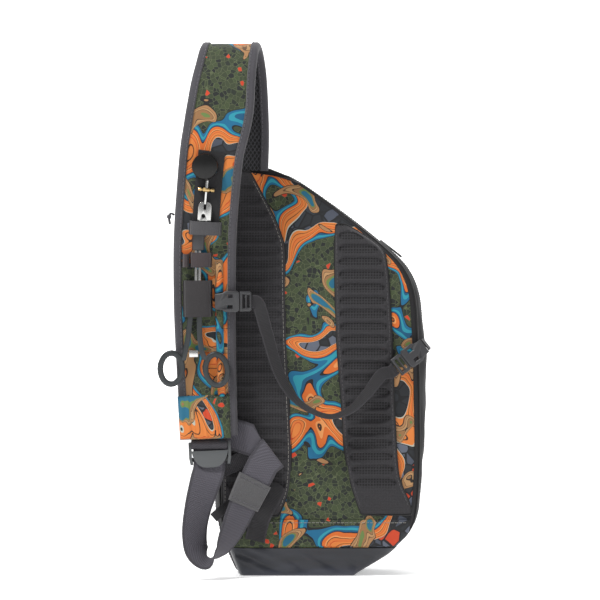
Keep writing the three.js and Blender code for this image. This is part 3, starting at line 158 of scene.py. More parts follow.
def tree_of(names):
    """A tree that rays can be cast at."""
    corners = triangles_of(names)
    points = [Vector(p) for p in corners.reshape(-1, 3)]
    faces = [(3 * i, 3 * i + 1, 3 * i + 2) for i in range(len(corners))]
    return BVHTree.FromPolygons(points, faces)


def cut_at(triangles, height):
    """Where the level plane at this height cuts the triangles' edges, as (x, y) rows."""
    spots = []
    for a, b in ((0, 1), (1, 2), (2, 0)):
        p, q = triangles[:, a], triangles[:, b]
        hit = (p[:, 2] - height) * (q[:, 2] - height) < 0
        share = (height - p[hit, 2]) / (q[hit, 2] - p[hit, 2])
        spots.append(p[hit, :2] + (q[hit, :2] - p[hit, :2]) * share[:, None])
    return np.concatenate(spots)


def smoothed(values, width, axis=0):
    """A running average with soft ends, which takes the facets out of a measured line."""
    steps = np.arange(-3 * width, 3 * width + 1)
    weights = np.exp(-0.5 * (steps / width) ** 2)
    weights /= weights.sum()
    moved = np.moveaxis(np.asarray(values, float), axis, 0)
    reach = len(steps) // 2
    head = 2 * moved[:1] - moved[1:reach + 1][::-1]
    tail = 2 * moved[-1:] - moved[-reach - 1:-1][::-1]
    padded = np.concatenate([head, moved, tail])
    out = sum(w * padded[i:i + len(moved)] for i, w in enumerate(weights))
    return np.moveaxis(out, 0, axis)


BODY_NODES = ["base_panel", "back_panel", "gusset", "main_zipper", "front_panel"]
body_tree = tree_of(BODY_NODES)
body_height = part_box("gusset")[1][2]
print("body height", round(body_height, 4))

# %% [markdown]
# ## Cloth from a grid
# Each panel of cloth starts as a flat grid, as cloth starts flat on the table. The
# grid's points are then laid on the measured places, row by row. Its UV map is its
# own length and width in metres, so a weave or a row of stitches can follow the
# cloth wherever it goes.


# %% Laying a grid
SMOOTH_ANGLE = math.radians(50)


def act_on(piece):
    """Leaves only this piece selected and active, so that the next operator acts on it alone."""
    bpy.ops.object.select_all(action="DESELECT")
    bpy.context.view_layer.objects.active = piece
    piece.select_set(True)


def apply_modifier(piece, kind, **settings):
    """Adds a modifier, sets it and applies it."""
    act_on(piece)
    modifier = piece.modifiers.new(kind.lower(), kind)
    for key, value in settings.items():
        setattr(modifier, key, value)
    bpy.ops.object.modifier_apply(modifier=modifier.name)


def edit_all(piece, *steps):
    """Runs operators on the whole of a piece's mesh in edit mode."""
    act_on(piece)
    bpy.ops.object.mode_set(mode="EDIT")
    bpy.ops.mesh.select_all(action="SELECT")
    for operator, settings in steps:
        operator(**settings)
    bpy.ops.object.mode_set(mode="OBJECT")


def finish_mesh(piece, material):
    """Smooth shading, one material, and a word about the piece."""
    act_on(piece)
    bpy.ops.object.shade_smooth_by_angle(angle=SMOOTH_ANGLE)
    piece.data.materials.clear()
    piece.data.materials.append(material)
    print(piece.name, len(piece.data.polygons), "faces")


def arc_lengths(points):
    """How far along a row of points each one lies."""
    steps = np.linalg.norm(np.diff(points, axis=0), axis=1)
    return np.concatenate([[0], np.cumsum(steps)])


def lay_grid(name, points, material, outward, thick=0.0, offset=-1.0):
    """A piece of cloth through rows of points, with its own length and width as its UV map.
    outward is a rough direction of its outer face, at its middle."""
    rows, columns = points.shape[:2]
    bpy.ops.object.select_all(action="DESELECT")
    bpy.ops.mesh.primitive_grid_add(x_subdivisions=columns - 1, y_subdivisions=rows - 1, size=1)
    piece = bpy.context.object
    piece.name = name
    mesh = piece.data
    mesh.vertices.foreach_set("co", points.reshape(-1).astype(float))
    across = arc_lengths(points[rows // 2])
    along = arc_lengths(points[:, columns // 2])
    flat = np.stack(np.meshgrid(across, along), axis=-1).reshape(-1, 2)
    corner = np.zeros(len(mesh.loops), dtype=int)
    mesh.loops.foreach_get("vertex_index", corner)
    mesh.uv_layers.active.data.foreach_set("uv", flat[corner].reshape(-1))
    mesh.update()
    middle = min((rows // 2) * (columns - 1) + columns // 2, len(mesh.polygons) - 1)
    if mesh.polygons[middle].normal.dot(Vector(outward)) < 0:
        edit_all(piece, (bpy.ops.mesh.flip_normals, {}))
    if thick:
        apply_modifier(piece, "SOLIDIFY", thickness=thick, offset=offset, use_even_offset=False)
    finish_mesh(piece, material)
    return piece


def weld(piece, gap=1e-6):
    """Merges doubled points and turns all faces outwards."""
    edit_all(piece, (bpy.ops.mesh.remove_doubles, {"threshold": gap}),
             (bpy.ops.mesh.normals_make_consistent, {"inside": False}))


def dress(piece, slot, *replaced):
    """The piece rides on the bag and stands for these nodes, which are hidden. slot is not used."""
    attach(piece, "root")
    if replaced:
        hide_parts(*replaced)
    return piece


def closed_ends(points):
    """The same rows, with a row at each end that is gathered in its middle."""
    ends = [np.broadcast_to(row.mean(axis=0), row.shape)[None] for row in (points[0], points[-1])]
    return np.concatenate([ends[0], points, ends[1]])


# %% [markdown]
# ## Finishes
# The bag's cloths are polyester: matt, a little furry at a low angle, and woven so
# finely that only a bump shows it. Every finish is a short node tree, so a small
# helper adds its nodes and ends them at the shader. Cloth colours are toned down by
# one shared value, because a colour read off a screen is paler than the cloth.


# %% Material helpers
def srgb(code):
    """A linear colour from a web colour."""
    parts = [int(code[i:i + 2], 16) / 255 for i in (1, 3, 5)]
    linear = [c / 12.92 if c <= 0.04045 else ((c + 0.055) / 1.055) ** 2.4 for c in parts]
    return (*linear, 1)


CLOTH_TONE = 0.52


class Shade:
    """A short way to write a node tree: add nodes, link them, end at the shader."""

    def __init__(self, name, roughness=0.8, metallic=0.0):
        """A new material with its shader, and its coordinates to read from."""
        self.material = bpy.data.materials.new(name)
        self.material.use_nodes = True
        self.tree = self.material.node_tree
        self.shader = self.tree.nodes["Principled BSDF"]
        self.shader.inputs["Roughness"].default_value = roughness
        self.shader.inputs["Metallic"].default_value = metallic
        self.coordinates = self.add("ShaderNodeTexCoord")

    def add(self, kind, links=None, **settings):
        """A new node, with its settings or its inputs' values, and links into it."""
        node = self.tree.nodes.new(kind)
        for key, value in settings.items():
            if hasattr(node, key):
                setattr(node, key, value)
            else:
                node.inputs[key.replace("_", " ").capitalize()].default_value = value
        for key, source in (links or {}).items():
            self.link(source, node.inputs[key])
        return node

    def link(self, source, target):
        """Joins an output to an input."""
        self.tree.links.new(source, target)

    def place(self, name="Object"):
        """Where on the bag, or on the piece's UV map, the shader is."""
        return self.coordinates.outputs[name]

    def math(self, operation, a, b=0.5):
        """One sum of two sockets or numbers."""
        node = self.tree.nodes.new("ShaderNodeMath")
        node.operation = operation
        for i, value in enumerate((a, b)):
            if isinstance(value, (int, float)):
                node.inputs[i].default_value = value
            else:
                self.link(value, node.inputs[i])
        return node.outputs[0]

    def mix(self, share, a, b, blend="MIX"):
        """Two colours mixed by a share."""
        node = self.tree.nodes.new("ShaderNodeMix")
        node.data_type = "RGBA"
        node.blend_type = blend
        for socket, value in ((node.inputs[0], share), (node.inputs[6], a), (node.inputs[7], b)):
            if isinstance(value, (int, float, tuple)):
                socket.default_value = value
            else:
                self.link(value, socket)
        return node.outputs[2]

    def ramp(self, source, stops, steps=False):
        """Colours at stops along a value, with hard steps or blended."""
        node = self.tree.nodes.new("ShaderNodeValToRGB")
        node.color_ramp.interpolation = "CONSTANT" if steps else "LINEAR"
        points = node.color_ramp.elements
        while len(points) < len(stops):
            points.new(0.5)
        for point, (at, colour) in zip(points, stops):
            point.position = at
            point.color = colour
        self.link(source, node.inputs[0])
        return node.outputs[0]

    def paint(self, colour, share=CLOTH_TONE):
        """Gives the shader this colour, toned down."""
        tone = (share, share, share, 1)
        self.link(self.mix(1.0, colour, tone, "MULTIPLY"), self.shader.inputs["Base Color"])

    def bump(self, height, strength, distance):
        """Lets a height value tilt the shader's normal."""
        node = self.tree.nodes.new("ShaderNodeBump")
        node.inputs["Strength"].default_value = strength
        node.inputs["Distance"].default_value = distance
        self.link(height, node.inputs["Height"])
        self.link(node.outputs[0], self.shader.inputs["Normal"])


def grey(value):
    """A grey as a colour."""
    return (value, value, value, 1)


def toned(colour, share):
    """A colour made darker or paler by a share."""
    return tuple(min(1, c * share) for c in colour[:3]) + (1,)


# %% [markdown]
# ## The print
# The print flows like the layers of a map. One slow noise gives the land its height,
# and each height has its own colour: fine olive gravel low down, then a blue rim,
# then orange slopes with dark contour lines, and slate pebbles on the hilltops. A
# second noise lays drifts of tan over it. It reads Object coordinates, so the print
# runs on over the seams, as carefully cut cloth does.

# %% Printed cloth
PRINT_TONE = 0.68
LAND = 11.5
DRIFT = LAND * 1.35
PEBBLE = 75.0
GRAVEL = 190.0
BODY_MIDDLE = 0.25
WEAVE = 1500.0
LAND_COLOURS = [
    # height, colour; gravel lies below the second row and pebbles above the last
    (0.0, "#3d4a2c"), (0.478, "#15171a"), (0.484, "#0f6f9a"), (0.496, "#2aa0b4"), (0.504, "#0d5c84"),
    (0.514, "#15171a"), (0.519, "#e8742a"), (0.537, "#f6a25c"), (0.544, "#3a2418"), (0.547, "#ee8136"),
    (0.566, "#d2481c"), (0.570, "#f08a3c"), (0.588, "#3a2418"), (0.591, "#f08a3c"), (0.606, "#c9cdbd"),
    (0.612, "#15171a"), (0.617, "#3c4047"),
]
DRIFT_COLOURS = [
    (0.0, "#000000"), (0.585, "#1c1a19"), (0.590, "#b9895a"), (0.610, "#6b4f36"), (0.614, "#c79a68"),
    (0.632, "#2d2621"), (0.636, "#a3774c"), (0.655, "#6f8a4a"), (0.67, "#1d6f8f"),
]
GRAVEL_COLOURS = [
    (0.0, "#39432a"), (0.25, "#262e23"), (0.45, "#435030"), (0.62, "#1d2220"), (0.8, "#3d472e"),
    (0.98, "#d9411f"),
]
PEBBLE_COLOURS = [
    (0.0, "#2b2e33"), (0.3, "#4f5563"), (0.45, "#343a43"), (0.62, "#676d7c"), (0.78, "#24272c"),
    (0.95, "#de4a22"),
]


def stones(shade, place, scale, colours, line, line_width):
    """Cells of one size, each with a colour of its own, and thin lines between them."""
    cells = shade.add("ShaderNodeTexVoronoi", {"Vector": place}, Scale=scale)
    edges = shade.add("ShaderNodeTexVoronoi", {"Vector": place}, feature="DISTANCE_TO_EDGE", Scale=scale)
    pick = shade.add("ShaderNodeSeparateColor", {"Color": cells.outputs["Color"]})
    fill = shade.ramp(pick.outputs[0], [(at, srgb(code)) for at, code in colours], steps=True)
    rim = shade.ramp(edges.outputs["Distance"], [(0.0, grey(1)), (line_width, grey(1)),
                                                 (line_width * 1.7, grey(0))])
    return shade.mix(rim, fill, srgb(line))


def printed_cloth(name, shift=(0, 0, 0), turn=0.0, rise=0.0, slope=0.0, top=0.0, tan=0.0):
    """The flowing print. shift and turn choose another part of it, rise lifts the land, slope
    tips it to the right, top lifts its upper half, and tan spreads the drifts."""
    shade = Shade(name, 0.8)
    moved = shade.add("ShaderNodeMapping", {"Vector": shade.place()})
    moved.inputs["Location"].default_value = shift
    moved.inputs["Rotation"].default_value = (0, turn, 0)
    place = moved.outputs[0]
    land = shade.add("ShaderNodeTexNoise", {"Vector": place}, Scale=LAND, Detail=1.4, Distortion=0.9)
    drift = shade.add("ShaderNodeTexNoise", {"Vector": place}, Scale=DRIFT, Detail=1.2, Distortion=1.4)
    gravel = stones(shade, place, GRAVEL, GRAVEL_COLOURS, "#5f6947", 0.026)
    pebbles = stones(shade, place, PEBBLE, PEBBLE_COLOURS, "#1c1d20", 0.05)
    axes = shade.add("ShaderNodeSeparateXYZ", {"Vector": shade.place()})
    rise = shade.math("ADD", shade.math("MULTIPLY", axes.outputs["X"], slope), rise)
    above = shade.math("MAXIMUM", shade.math("SUBTRACT", axes.outputs["Z"], BODY_MIDDLE), 0.0)
    rise = shade.math("ADD", rise, shade.math("MULTIPLY", above, top))
    height = shade.math("ADD", land.outputs["Fac"], rise)
    colour = shade.ramp(height, [(at, srgb(code)) for at, code in LAND_COLOURS], steps=True)
    low = shade.math("LESS_THAN", height, LAND_COLOURS[1][0])
    colour = shade.mix(low, colour, gravel)
    high = shade.math("GREATER_THAN", height, LAND_COLOURS[-1][0])
    colour = shade.mix(high, colour, pebbles)
    sand = shade.math("ADD", drift.outputs["Fac"], tan)
    over = shade.ramp(sand, [(at, srgb(code)) for at, code in DRIFT_COLOURS], steps=True)
    lies = shade.math("GREATER_THAN", sand, DRIFT_COLOURS[1][0])
    colour = shade.mix(lies, colour, over)
    shade.paint(colour, PRINT_TONE)
    weave = shade.add("ShaderNodeTexNoise", {"Vector": shade.place()}, Scale=WEAVE, Detail=1.0)
    shade.bump(weave.outputs["Fac"], 0.25, 0.0006)
    shade.shader.inputs["Sheen Weight"].default_value = 0.05
    return shade.material


print_cloth = printed_cloth("flowing_print", (0.03, 0, 0.02), 0.0, -0.056, 0.9, 0.3)
print_warm = printed_cloth("flowing_print_strap", (0.4, 0.1, 0.25), 0.5, -0.012)
print_rail = printed_cloth("flowing_print_rail", (0.9, 0.3, 0.11), 1.1, 0.035)
print_tab = printed_cloth("flowing_print_tab", (1.7, 0.2, 0.37), 1.9, -0.03, tan=0.085)

# %% [markdown]
# ## Plain, punched and ribbed cloths
# The gusset, bindings and elastic are plain weaves. The pads' cloth is punched with a
# square grid of holes, and webbing has slanting ribs. All of this is finer than a
# pixel or two, so it lives in the finish: a grid from Object coordinates on the pads,
# and ribs from the UV map on webbing, which bends and has to carry them along.

# %% Plain cloths
def plain_cloth(name, colour, roughness=0.85, grain=1300.0, strength=0.3, sheen=0.15):
    """A plain woven cloth: one colour, a little uneven, with a fine bumpy grain."""
    shade = Shade(name, roughness)
    spots = shade.add("ShaderNodeTexNoise", {"Vector": shade.place()}, Scale=grain, Detail=2.0)
    cloud = shade.add("ShaderNodeTexNoise", {"Vector": shade.place()}, Scale=14.0, Detail=3.0)
    dark, pale = (toned(srgb(colour), share) for share in (0.72, 1.25))
    both = shade.math("ADD", shade.math("MULTIPLY", spots.outputs["Fac"], 0.6),
                      shade.math("MULTIPLY", cloud.outputs["Fac"], 0.4))
    shade.paint(shade.ramp(both, [(0.35, dark), (0.65, pale)]))
    shade.bump(spots.outputs["Fac"], strength, 0.0005)
    shade.shader.inputs["Sheen Weight"].default_value = sheen
    return shade.material


GRID_PITCH = 0.0034
HOLE = 0.36


def perforated_cloth(name, colour, hole_colour):
    """Pad cloth with a square grid of small dark holes, where the piece's own attribute asks for them; denser
    holes darken the sunk bands as painted shade.
    """
    shade = Shade(name, 0.85)
    axes = shade.add("ShaderNodeSeparateXYZ", {"Vector": shade.place()})
    cells = []
    for axis in ("X", "Z"):
        share = shade.math("DIVIDE", axes.outputs[axis], GRID_PITCH)
        off = shade.math("SUBTRACT", shade.math("FRACT", share), 0.5)
        cells.append(shade.math("POWER", off, 2.0))
    reach = shade.math("SQRT", shade.math("ADD", *cells))
    dots = shade.ramp(reach, [(0.0, grey(1)), (HOLE * 0.75, grey(1)), (HOLE * 1.2, grey(0))])
    # the holes are the real punching; their extra density in the sunk bands is painted shade
    asked = shade.add("ShaderNodeAttribute", attribute_name="holes_and_band_shade")
    dots = shade.math("MULTIPLY", dots, asked.outputs["Fac"])
    cloud = shade.add("ShaderNodeTexNoise", {"Vector": shade.place()}, Scale=700.0, Detail=2.0)
    dark, pale = (toned(srgb(colour), share) for share in (0.82, 1.2))
    ground = shade.ramp(cloud.outputs["Fac"], [(0.35, dark), (0.65, pale)])
    shade.paint(shade.mix(dots, ground, srgb(hole_colour)))
    shade.bump(shade.math("SUBTRACT", shade.math("MULTIPLY", cloud.outputs["Fac"], 0.2), dots), 0.5, 0.0008)
    shade.shader.inputs["Sheen Weight"].default_value = 0.08
    return shade.material


def webbing_cloth(name, colour, rib, slant, edge_tone_and_highlight):
    """Woven webbing: ribs along its own length and width from its UV map, and a line at its
    edges where the piece's attribute says how near the edge lies. On the narrow tape that line is paler, a
    painted highlight."""
    shade = Shade(name, 0.8)
    flat = shade.add("ShaderNodeSeparateXYZ", {"Vector": shade.place("UV")})
    lean = shade.math("ADD", flat.outputs["Y"], shade.math("MULTIPLY", flat.outputs["X"], slant))
    wave = shade.math("SINE", shade.math("MULTIPLY", lean, 2 * math.pi / rib))
    cross = shade.math("SINE", shade.math("MULTIPLY", flat.outputs["X"], 2 * math.pi / (rib * 0.8)))
    weave = shade.math("ADD", shade.math("MULTIPLY", wave, 0.7), shade.math("MULTIPLY", cross, 0.3))
    base = srgb(colour)
    ground = shade.ramp(shade.math("ADD", shade.math("MULTIPLY", weave, 0.5), 0.5), [
        (0.0, toned(base, 0.68)), (1.0, toned(base, 1.22))])
    near = shade.add("ShaderNodeAttribute", attribute_name="edge")
    line = shade.ramp(near.outputs["Fac"], [(0.0, grey(0)), (0.80, grey(0)), (0.86, grey(1))])
    shade.paint(shade.mix(line, ground, toned(base, edge_tone_and_highlight)))
    shade.bump(weave, 0.35, 0.0005)
    shade.shader.inputs["Sheen Weight"].default_value = 0.08
    return shade.material


def coated_cloth(name, colour):
    """Coated cloth: smooth, with slanting streaks painted paler and darker, a painted highlight and painted
    shade of folds.
    """
    shade = Shade(name, 0.38)
    slanted = shade.add("ShaderNodeMapping", {"Vector": shade.place()})
    slanted.inputs["Rotation"].default_value = (0, math.radians(-38), 0)
    slanted.inputs["Scale"].default_value = (9, 9, 42)
    painted_light_streaks = shade.add("ShaderNodeTexNoise", {"Vector": slanted.outputs[0]}, Scale=1.0, Detail=2.0)
    base = srgb(colour)
    # paler and darker streaks in the colour: painted highlight and painted shade
    shade.paint(shade.ramp(painted_light_streaks.outputs["Fac"], [
        (0.36, toned(base, 0.62)), (0.5, toned(base, 1.0)), (0.62, toned(base, 1.7))]))
    shade.bump(painted_light_streaks.outputs["Fac"], 0.6, 0.004)
    return shade.material


def diamond_mesh(name, colour, pitch):
    """Open spacer mesh: crossing ribs round dark diamonds, from the piece's UV map."""
    shade = Shade(name, 0.9)
    flat = shade.add("ShaderNodeSeparateXYZ", {"Vector": shade.place("UV")})
    waves = []
    for sign in (1, -1):
        lean = shade.math("ADD", flat.outputs["X"], shade.math("MULTIPLY", flat.outputs["Y"], sign * 0.7))
        wave = shade.math("SINE", shade.math("MULTIPLY", lean, math.pi / pitch))
        waves.append(shade.math("ABSOLUTE", wave))
    low = shade.math("MINIMUM", *waves)
    ribs = shade.ramp(low, [(0.0, grey(1)), (0.25, grey(1)), (0.6, grey(0))])
    shade.paint(shade.mix(ribs, toned(srgb(colour), 0.12), toned(srgb(colour), 1.6)))
    shade.bump(ribs, 0.8, 0.0012)
    return shade.material


THREAD_LOOK = (0.7, 900.0, 0.1, 0.05)
gusset_cloth = plain_cloth("gusset_cloth", "#252427", sheen=0.02)
binding_tape = plain_cloth("binding_tape", "#57555b")
sleeve_cloth = plain_cloth("sleeve_cloth", "#3b3739")
keeper_tape = plain_cloth("keeper_tape", "#6a696b")
dock_elastic = plain_cloth("dock_elastic", "#545356")
loop_elastic = plain_cloth("loop_elastic", "#4a3f41")
# near-black: the piping on the back's seams, and painted gap shadow round the pads
piping_and_gap_shadow = plain_cloth("piping_and_gap_shadow", "#151416", *THREAD_LOOK)
stitch_thread = plain_cloth("stitch_thread", "#b9b6ae", *THREAD_LOOK)
dark_thread = plain_cloth("dark_thread", "#6b696d", *THREAD_LOOK)
grey_thread = plain_cloth("grey_thread", "#77757b", *THREAD_LOOK)
base_cloth = coated_cloth("base_cloth", "#31343f")
spacer_mesh = diamond_mesh("spacer_mesh", "#3c3c40", 0.0052)
pad_cloth = perforated_cloth("pad_cloth", "#38363a", "#100f12")
webbing_tape = webbing_cloth("webbing_tape", "#66636d", 0.0024, 0.6, 0.6)
# its edges are painted paler: a painted highlight
narrow_tape = webbing_cloth("narrow_tape", "#2b292d", 0.0018, 0.0, 1.9)
elastic_tape = webbing_cloth("elastic_tape", "#4c4a4f", 0.0022, 0.0, 1.0)
roll_tape = webbing_cloth("roll_tape", "#49464d", 0.0024, 0.6, 0.8)
grey_plastic = plain_material("grey_plastic", toned(srgb("#4b4b4e"), 0.5), 0.38)
black_plastic = plain_material("black_plastic", srgb("#0a0a0a"), 0.34)
black_plastic.node_tree.nodes["Principled BSDF"].inputs["Specular IOR Level"].default_value = 0.35
lock_plastic = plain_material("lock_plastic", toned(srgb("#5f6264"), 0.62), 0.42)
coated_steel = plain_material("coated_steel", toned(srgb("#44484a"), 0.6), 0.36, 0.4)
polished_steel = plain_material("polished_steel", srgb("#c9c9c7"), 0.18, 1.0)
brass_clip = plain_material("brass_clip", srgb("#b79a68"), 0.3, 0.9)

# %% [markdown]
# ## The bag's body
# The body is a stuffed bag whose seams divide it into back, gusset, zipper strips and
# front. Level cuts through the solids measure those seams first, at every height, so
# that the panels on both sides of a seam are laid to the same line.

# %% Measure the seams
ROW_STEP = 0.0025
NIP = 0.0002
TOP_CUT = body_height - 3 * NIP
SEAM_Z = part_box("back_panel")[0][2]
heights = np.linspace(SEAM_Z + NIP, TOP_CUT, int((TOP_CUT - SEAM_Z) / ROW_STEP))
SEAM_SMOOTH = 3


def seam_line(name, column, side):
    """The least or greatest x or y of a node at every height of the body's rows."""
    triangles = triangles_of([name])
    pick = np.min if side < 0 else np.max
    low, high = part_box(name)
    line = [pick(cut_at(triangles, h)[:, column]) for h in np.clip(heights, low[2] + NIP, high[2] - NIP)]
    return smoothed(line, SEAM_SMOOTH)


back_left = seam_line("back_panel", 0, -1)
back_right = seam_line("back_panel", 0, 1)
seam_back = seam_line("back_panel", 1, 1) + NIP
zip_back = seam_line("main_zipper", 1, -1) - NIP
zip_front = seam_line("main_zipper", 1, 1) + NIP
print("seam depth at the bottom", round(seam_back[0], 4), round(zip_back[0], 4), round(zip_front[0], 4))

# %% [markdown]
# ## The side walls
# Gusset and zipper strip run up both sides. Rays from far outside find the wall
# between two seams, row by row. The bottle pocket's mouth is a hole in that wall, so
# the cloth is bridged over it and cut open later. Slow folds are moved in at the
# end, and none at the seams, the way that cloth over foam shows them.

# %% Walls by rays
FAR = 1.0
MOUTH_Y = 0.004
MOUTH_Z = 0.0491
MOUTH_RADIUS = 0.0455
MOUTH_BULGE = 0.0025
MOUTH_STEP = 0.0005
MOUTH_SIDE = -0.3
MOUTH_WALL_X = -0.09
MOUTH_TRIES = 3
SEAM_STEPS = (0, 0.0006, -0.0006)


def side_point(y, z, side):
    """The outer face at this y and z, seen from the right (1) or the left (-1). Across the
    bottle pocket's mouth the wall is bridged, because its hole is cut later."""
    rise = MOUTH_RADIUS ** 2 - (z - MOUTH_Z) ** 2
    reach = math.sqrt(rise) if rise > 0 else 0
    if side < 0 and abs(y - MOUTH_Y) < reach:
        share = (y - MOUTH_Y + reach) / (2 * reach)
        ends = [side_point(MOUTH_Y + sign * (reach + MOUTH_STEP), z, side) for sign in (-1, 1)]
        return ends[0] + (ends[1] - ends[0]) * share - MOUTH_BULGE * 4 * share * (1 - share)
    found = []
    for step in SEAM_STEPS:
        hit = body_tree.ray_cast(Vector((side * FAR, y + step, z)), Vector((-side, 0, 0)))[0]
        if hit:
            found.append(hit.x)
    if not found:
        return None
    return max(found) if side > 0 else min(found)


def ring_point(centre, direction):
    """The outer face, seen level from far outside towards the centre."""
    hits = [body_tree.ray_cast(centre + direction * FAR + Vector((0, step, 0)), -direction)[0]
            for step in SEAM_STEPS]
    hits = [hit for hit in hits if hit]
    hit = max(hits, key=lambda spot: (spot - centre).dot(direction)) if hits else None
    if direction.x < MOUTH_SIDE:
        x = MOUTH_WALL_X
        for _ in range(MOUTH_TRIES):
            y = centre.y + direction.y / direction.x * (x - centre.x)
            if abs(y - MOUTH_Y) > MOUTH_RADIUS or abs(centre.z - MOUTH_Z) > MOUTH_RADIUS:
                return hit
            x = side_point(y, centre.z, -1)
            if x is None:
                return hit
        return Vector((x, y, centre.z))
    return hit


def wall(depths_back, depths_front, side, columns):
    """A side wall between two seams: rows up the bag, columns from seam to seam."""
    points = np.zeros((len(heights), columns, 3))
    for i, z in enumerate(heights):
        for j in range(columns):
            share = j / (columns - 1)
            y = depths_back[i] + (depths_front[i] - depths_back[i]) * share
            x = side_point(y, z, side)
            if x is None:
                x = points[i - 1, j, 0] if i else 0
            points[i, j] = (x, y, z)
    points[:, :, 0] = smoothed(points[:, :, 0], SEAM_SMOOTH)
    return points


def wrinkled(points, normal, size, amount, seed, keep=None):
    """Moves the points in and out by a slow noise, less where keep is near zero."""
    moved = points.copy()
    for i in range(points.shape[0]):
        for j in range(points.shape[1]):
            p = Vector(points[i, j]) / size + Vector((seed, seed * 1.7, 0))
            lift = noise.noise(p) + 0.5 * noise.noise(p * 2.1)
            share = 1.0 if keep is None else keep[i, j]
            moved[i, j] += np.array(normal) * lift * amount * share
    return moved


CLOTH = 0.0015
GUSSET_COLUMNS = 18
ZIP_COLUMNS = 5
GUSSET_FOLD = 0.0028
FOLD_SIZE = 0.05
FOLD_EASE = 4
gusset_right = wall(seam_back, zip_back, 1, GUSSET_COLUMNS)
gusset_left = wall(seam_back, zip_back, -1, GUSSET_COLUMNS)
zip_right = wall(zip_back, zip_front, 1, ZIP_COLUMNS)
zip_left = wall(zip_back, zip_front, -1, ZIP_COLUMNS)

inward = np.minimum(np.arange(GUSSET_COLUMNS), np.arange(GUSSET_COLUMNS)[::-1])
keep = np.tile(np.clip(inward / FOLD_EASE, 0, 1), (len(heights), 1))
for name, points, side in (("gusset_right", gusset_right, 1), ("gusset_left", gusset_left, -1)):
    soft = wrinkled(points, (side, 0, 0), FOLD_SIZE, GUSSET_FOLD, 3.0, keep)
    piece = lay_grid(name, soft, gusset_cloth, (side, 0, 0), CLOTH)
    dress(piece, "gusset_cloth", *(["gusset"] if side > 0 else []))
for name, points, side in (("zip_right", zip_right, 1), ("zip_left", zip_left, -1)):
    piece = lay_grid(name, points, gusset_cloth, (side, 0, 0), CLOTH)
    dress(piece, "gusset_cloth", *(["main_zipper"] if side > 0 else []))

# %% [markdown]
# ## The printed back
# The back is one printed panel that lies nearly flat on the wearer's back. Rays from
# the front find its face between its two seams, and its outermost columns are set on
# the seam itself. Its folds are shallow, because the pads hold the panel flat.

# %% The printed back
BACK_COLUMNS = 90
BACK_INSET = 0.0008
BACK_FOLD = 0.0014
EDGE_EASE = 12


def back_point(x, z):
    """The outer face of the back at this x and z."""
    hit = body_tree.ray_cast(Vector((x, -FAR, z)), Vector((0, 1, 0)))[0]
    return hit.y if hit else None


back = np.zeros((len(heights), BACK_COLUMNS, 3))
for i, z in enumerate(heights):
    for j, share in enumerate(np.linspace(0, 1, BACK_COLUMNS)):
        x = back_left[i] + (back_right[i] - back_left[i]) * share
        inner = min(max(x, back_left[i] + BACK_INSET), back_right[i] - BACK_INSET)
        y = back_point(inner, z)
        back[i, j] = (x, seam_back[i] if y is None else min(y, seam_back[i]), z)
back[:, :, 1] = smoothed(back[:, :, 1], 2)
back[:, 0, 1] = seam_back
back[:, -1, 1] = seam_back
edge_share = np.minimum(np.linspace(0, 1, BACK_COLUMNS), np.linspace(1, 0, BACK_COLUMNS)) * EDGE_EASE
keep = np.clip(np.tile(edge_share, (len(heights), 1)), 0, 1)
back_soft = wrinkled(back, (0, 1, 0), FOLD_SIZE, BACK_FOLD, 8.0, keep)
dress(lay_grid("back_cloth", back_soft, print_cloth, (0, -1, 0), CLOTH), "printed_cloth", "back_panel")

# %% [markdown]
# ## The front panel
# The front bulges away from the wearer, so a flat view would miss its sides. The rays
# come from all round instead, towards an axis in the plane of the zipper's seam, and
# fan out as an ellipse does, with even steps along the cloth.

# %% The front panel
FRONT_COLUMNS = 110
FRONT_TOP = 0.4905
FRONT_AXIS_BACK = 0.002
FRONT_LEAST = 0.004
FRONT_FOLD = 0.0022
FRONT_FOLD_SIZE = 0.07
axis_x = (gusset_right[:, -1, 0] + gusset_left[:, -1, 0]) / 2
front_triangles = triangles_of(["front_panel"])
front_depth = np.array([np.max(cut_at(front_triangles, min(h, FRONT_TOP))[:, 1]) for h in heights])
axis_y = zip_front - FRONT_AXIS_BACK
front = np.zeros((len(heights), FRONT_COLUMNS, 3))
for i, z in enumerate(heights):
    half = (zip_right[i, -1, 0] - zip_left[i, -1, 0]) / 2
    reach = max(front_depth[i] - axis_y[i], FRONT_LEAST)
    for j, share in enumerate(np.linspace(0, math.pi, FRONT_COLUMNS)):
        direction = Vector((math.cos(share) * half, math.sin(share) * reach, 0)).normalized()
        centre = Vector((axis_x[i], zip_front[i], z))
        hit = ring_point(centre, direction)
        front[i, j] = hit if hit else front[i - 1, j]
        front[i, j, 2] = z
front[:, 0] = zip_right[:, -1]
front[:, -1] = zip_left[:, -1]
front = smoothed(smoothed(front, 3), 1, axis=1)
front_soft = wrinkled(front, (0, 1, 0), FRONT_FOLD_SIZE, FRONT_FOLD, 5.0)
dress(lay_grid("front_cloth", front_soft, print_cloth, (0, 1, 0), CLOTH), "printed_cloth", "front_panel")

# %% [markdown]
# ## The coated base
# The base is a shallow tub of coated cloth. Level rings of rays give its sides, and
# the last rings close in on the flat bottom that the bag stands on. The coating is
# stiff, so it creases in slanting ridges: a noise is folded at zero to sharpen them.

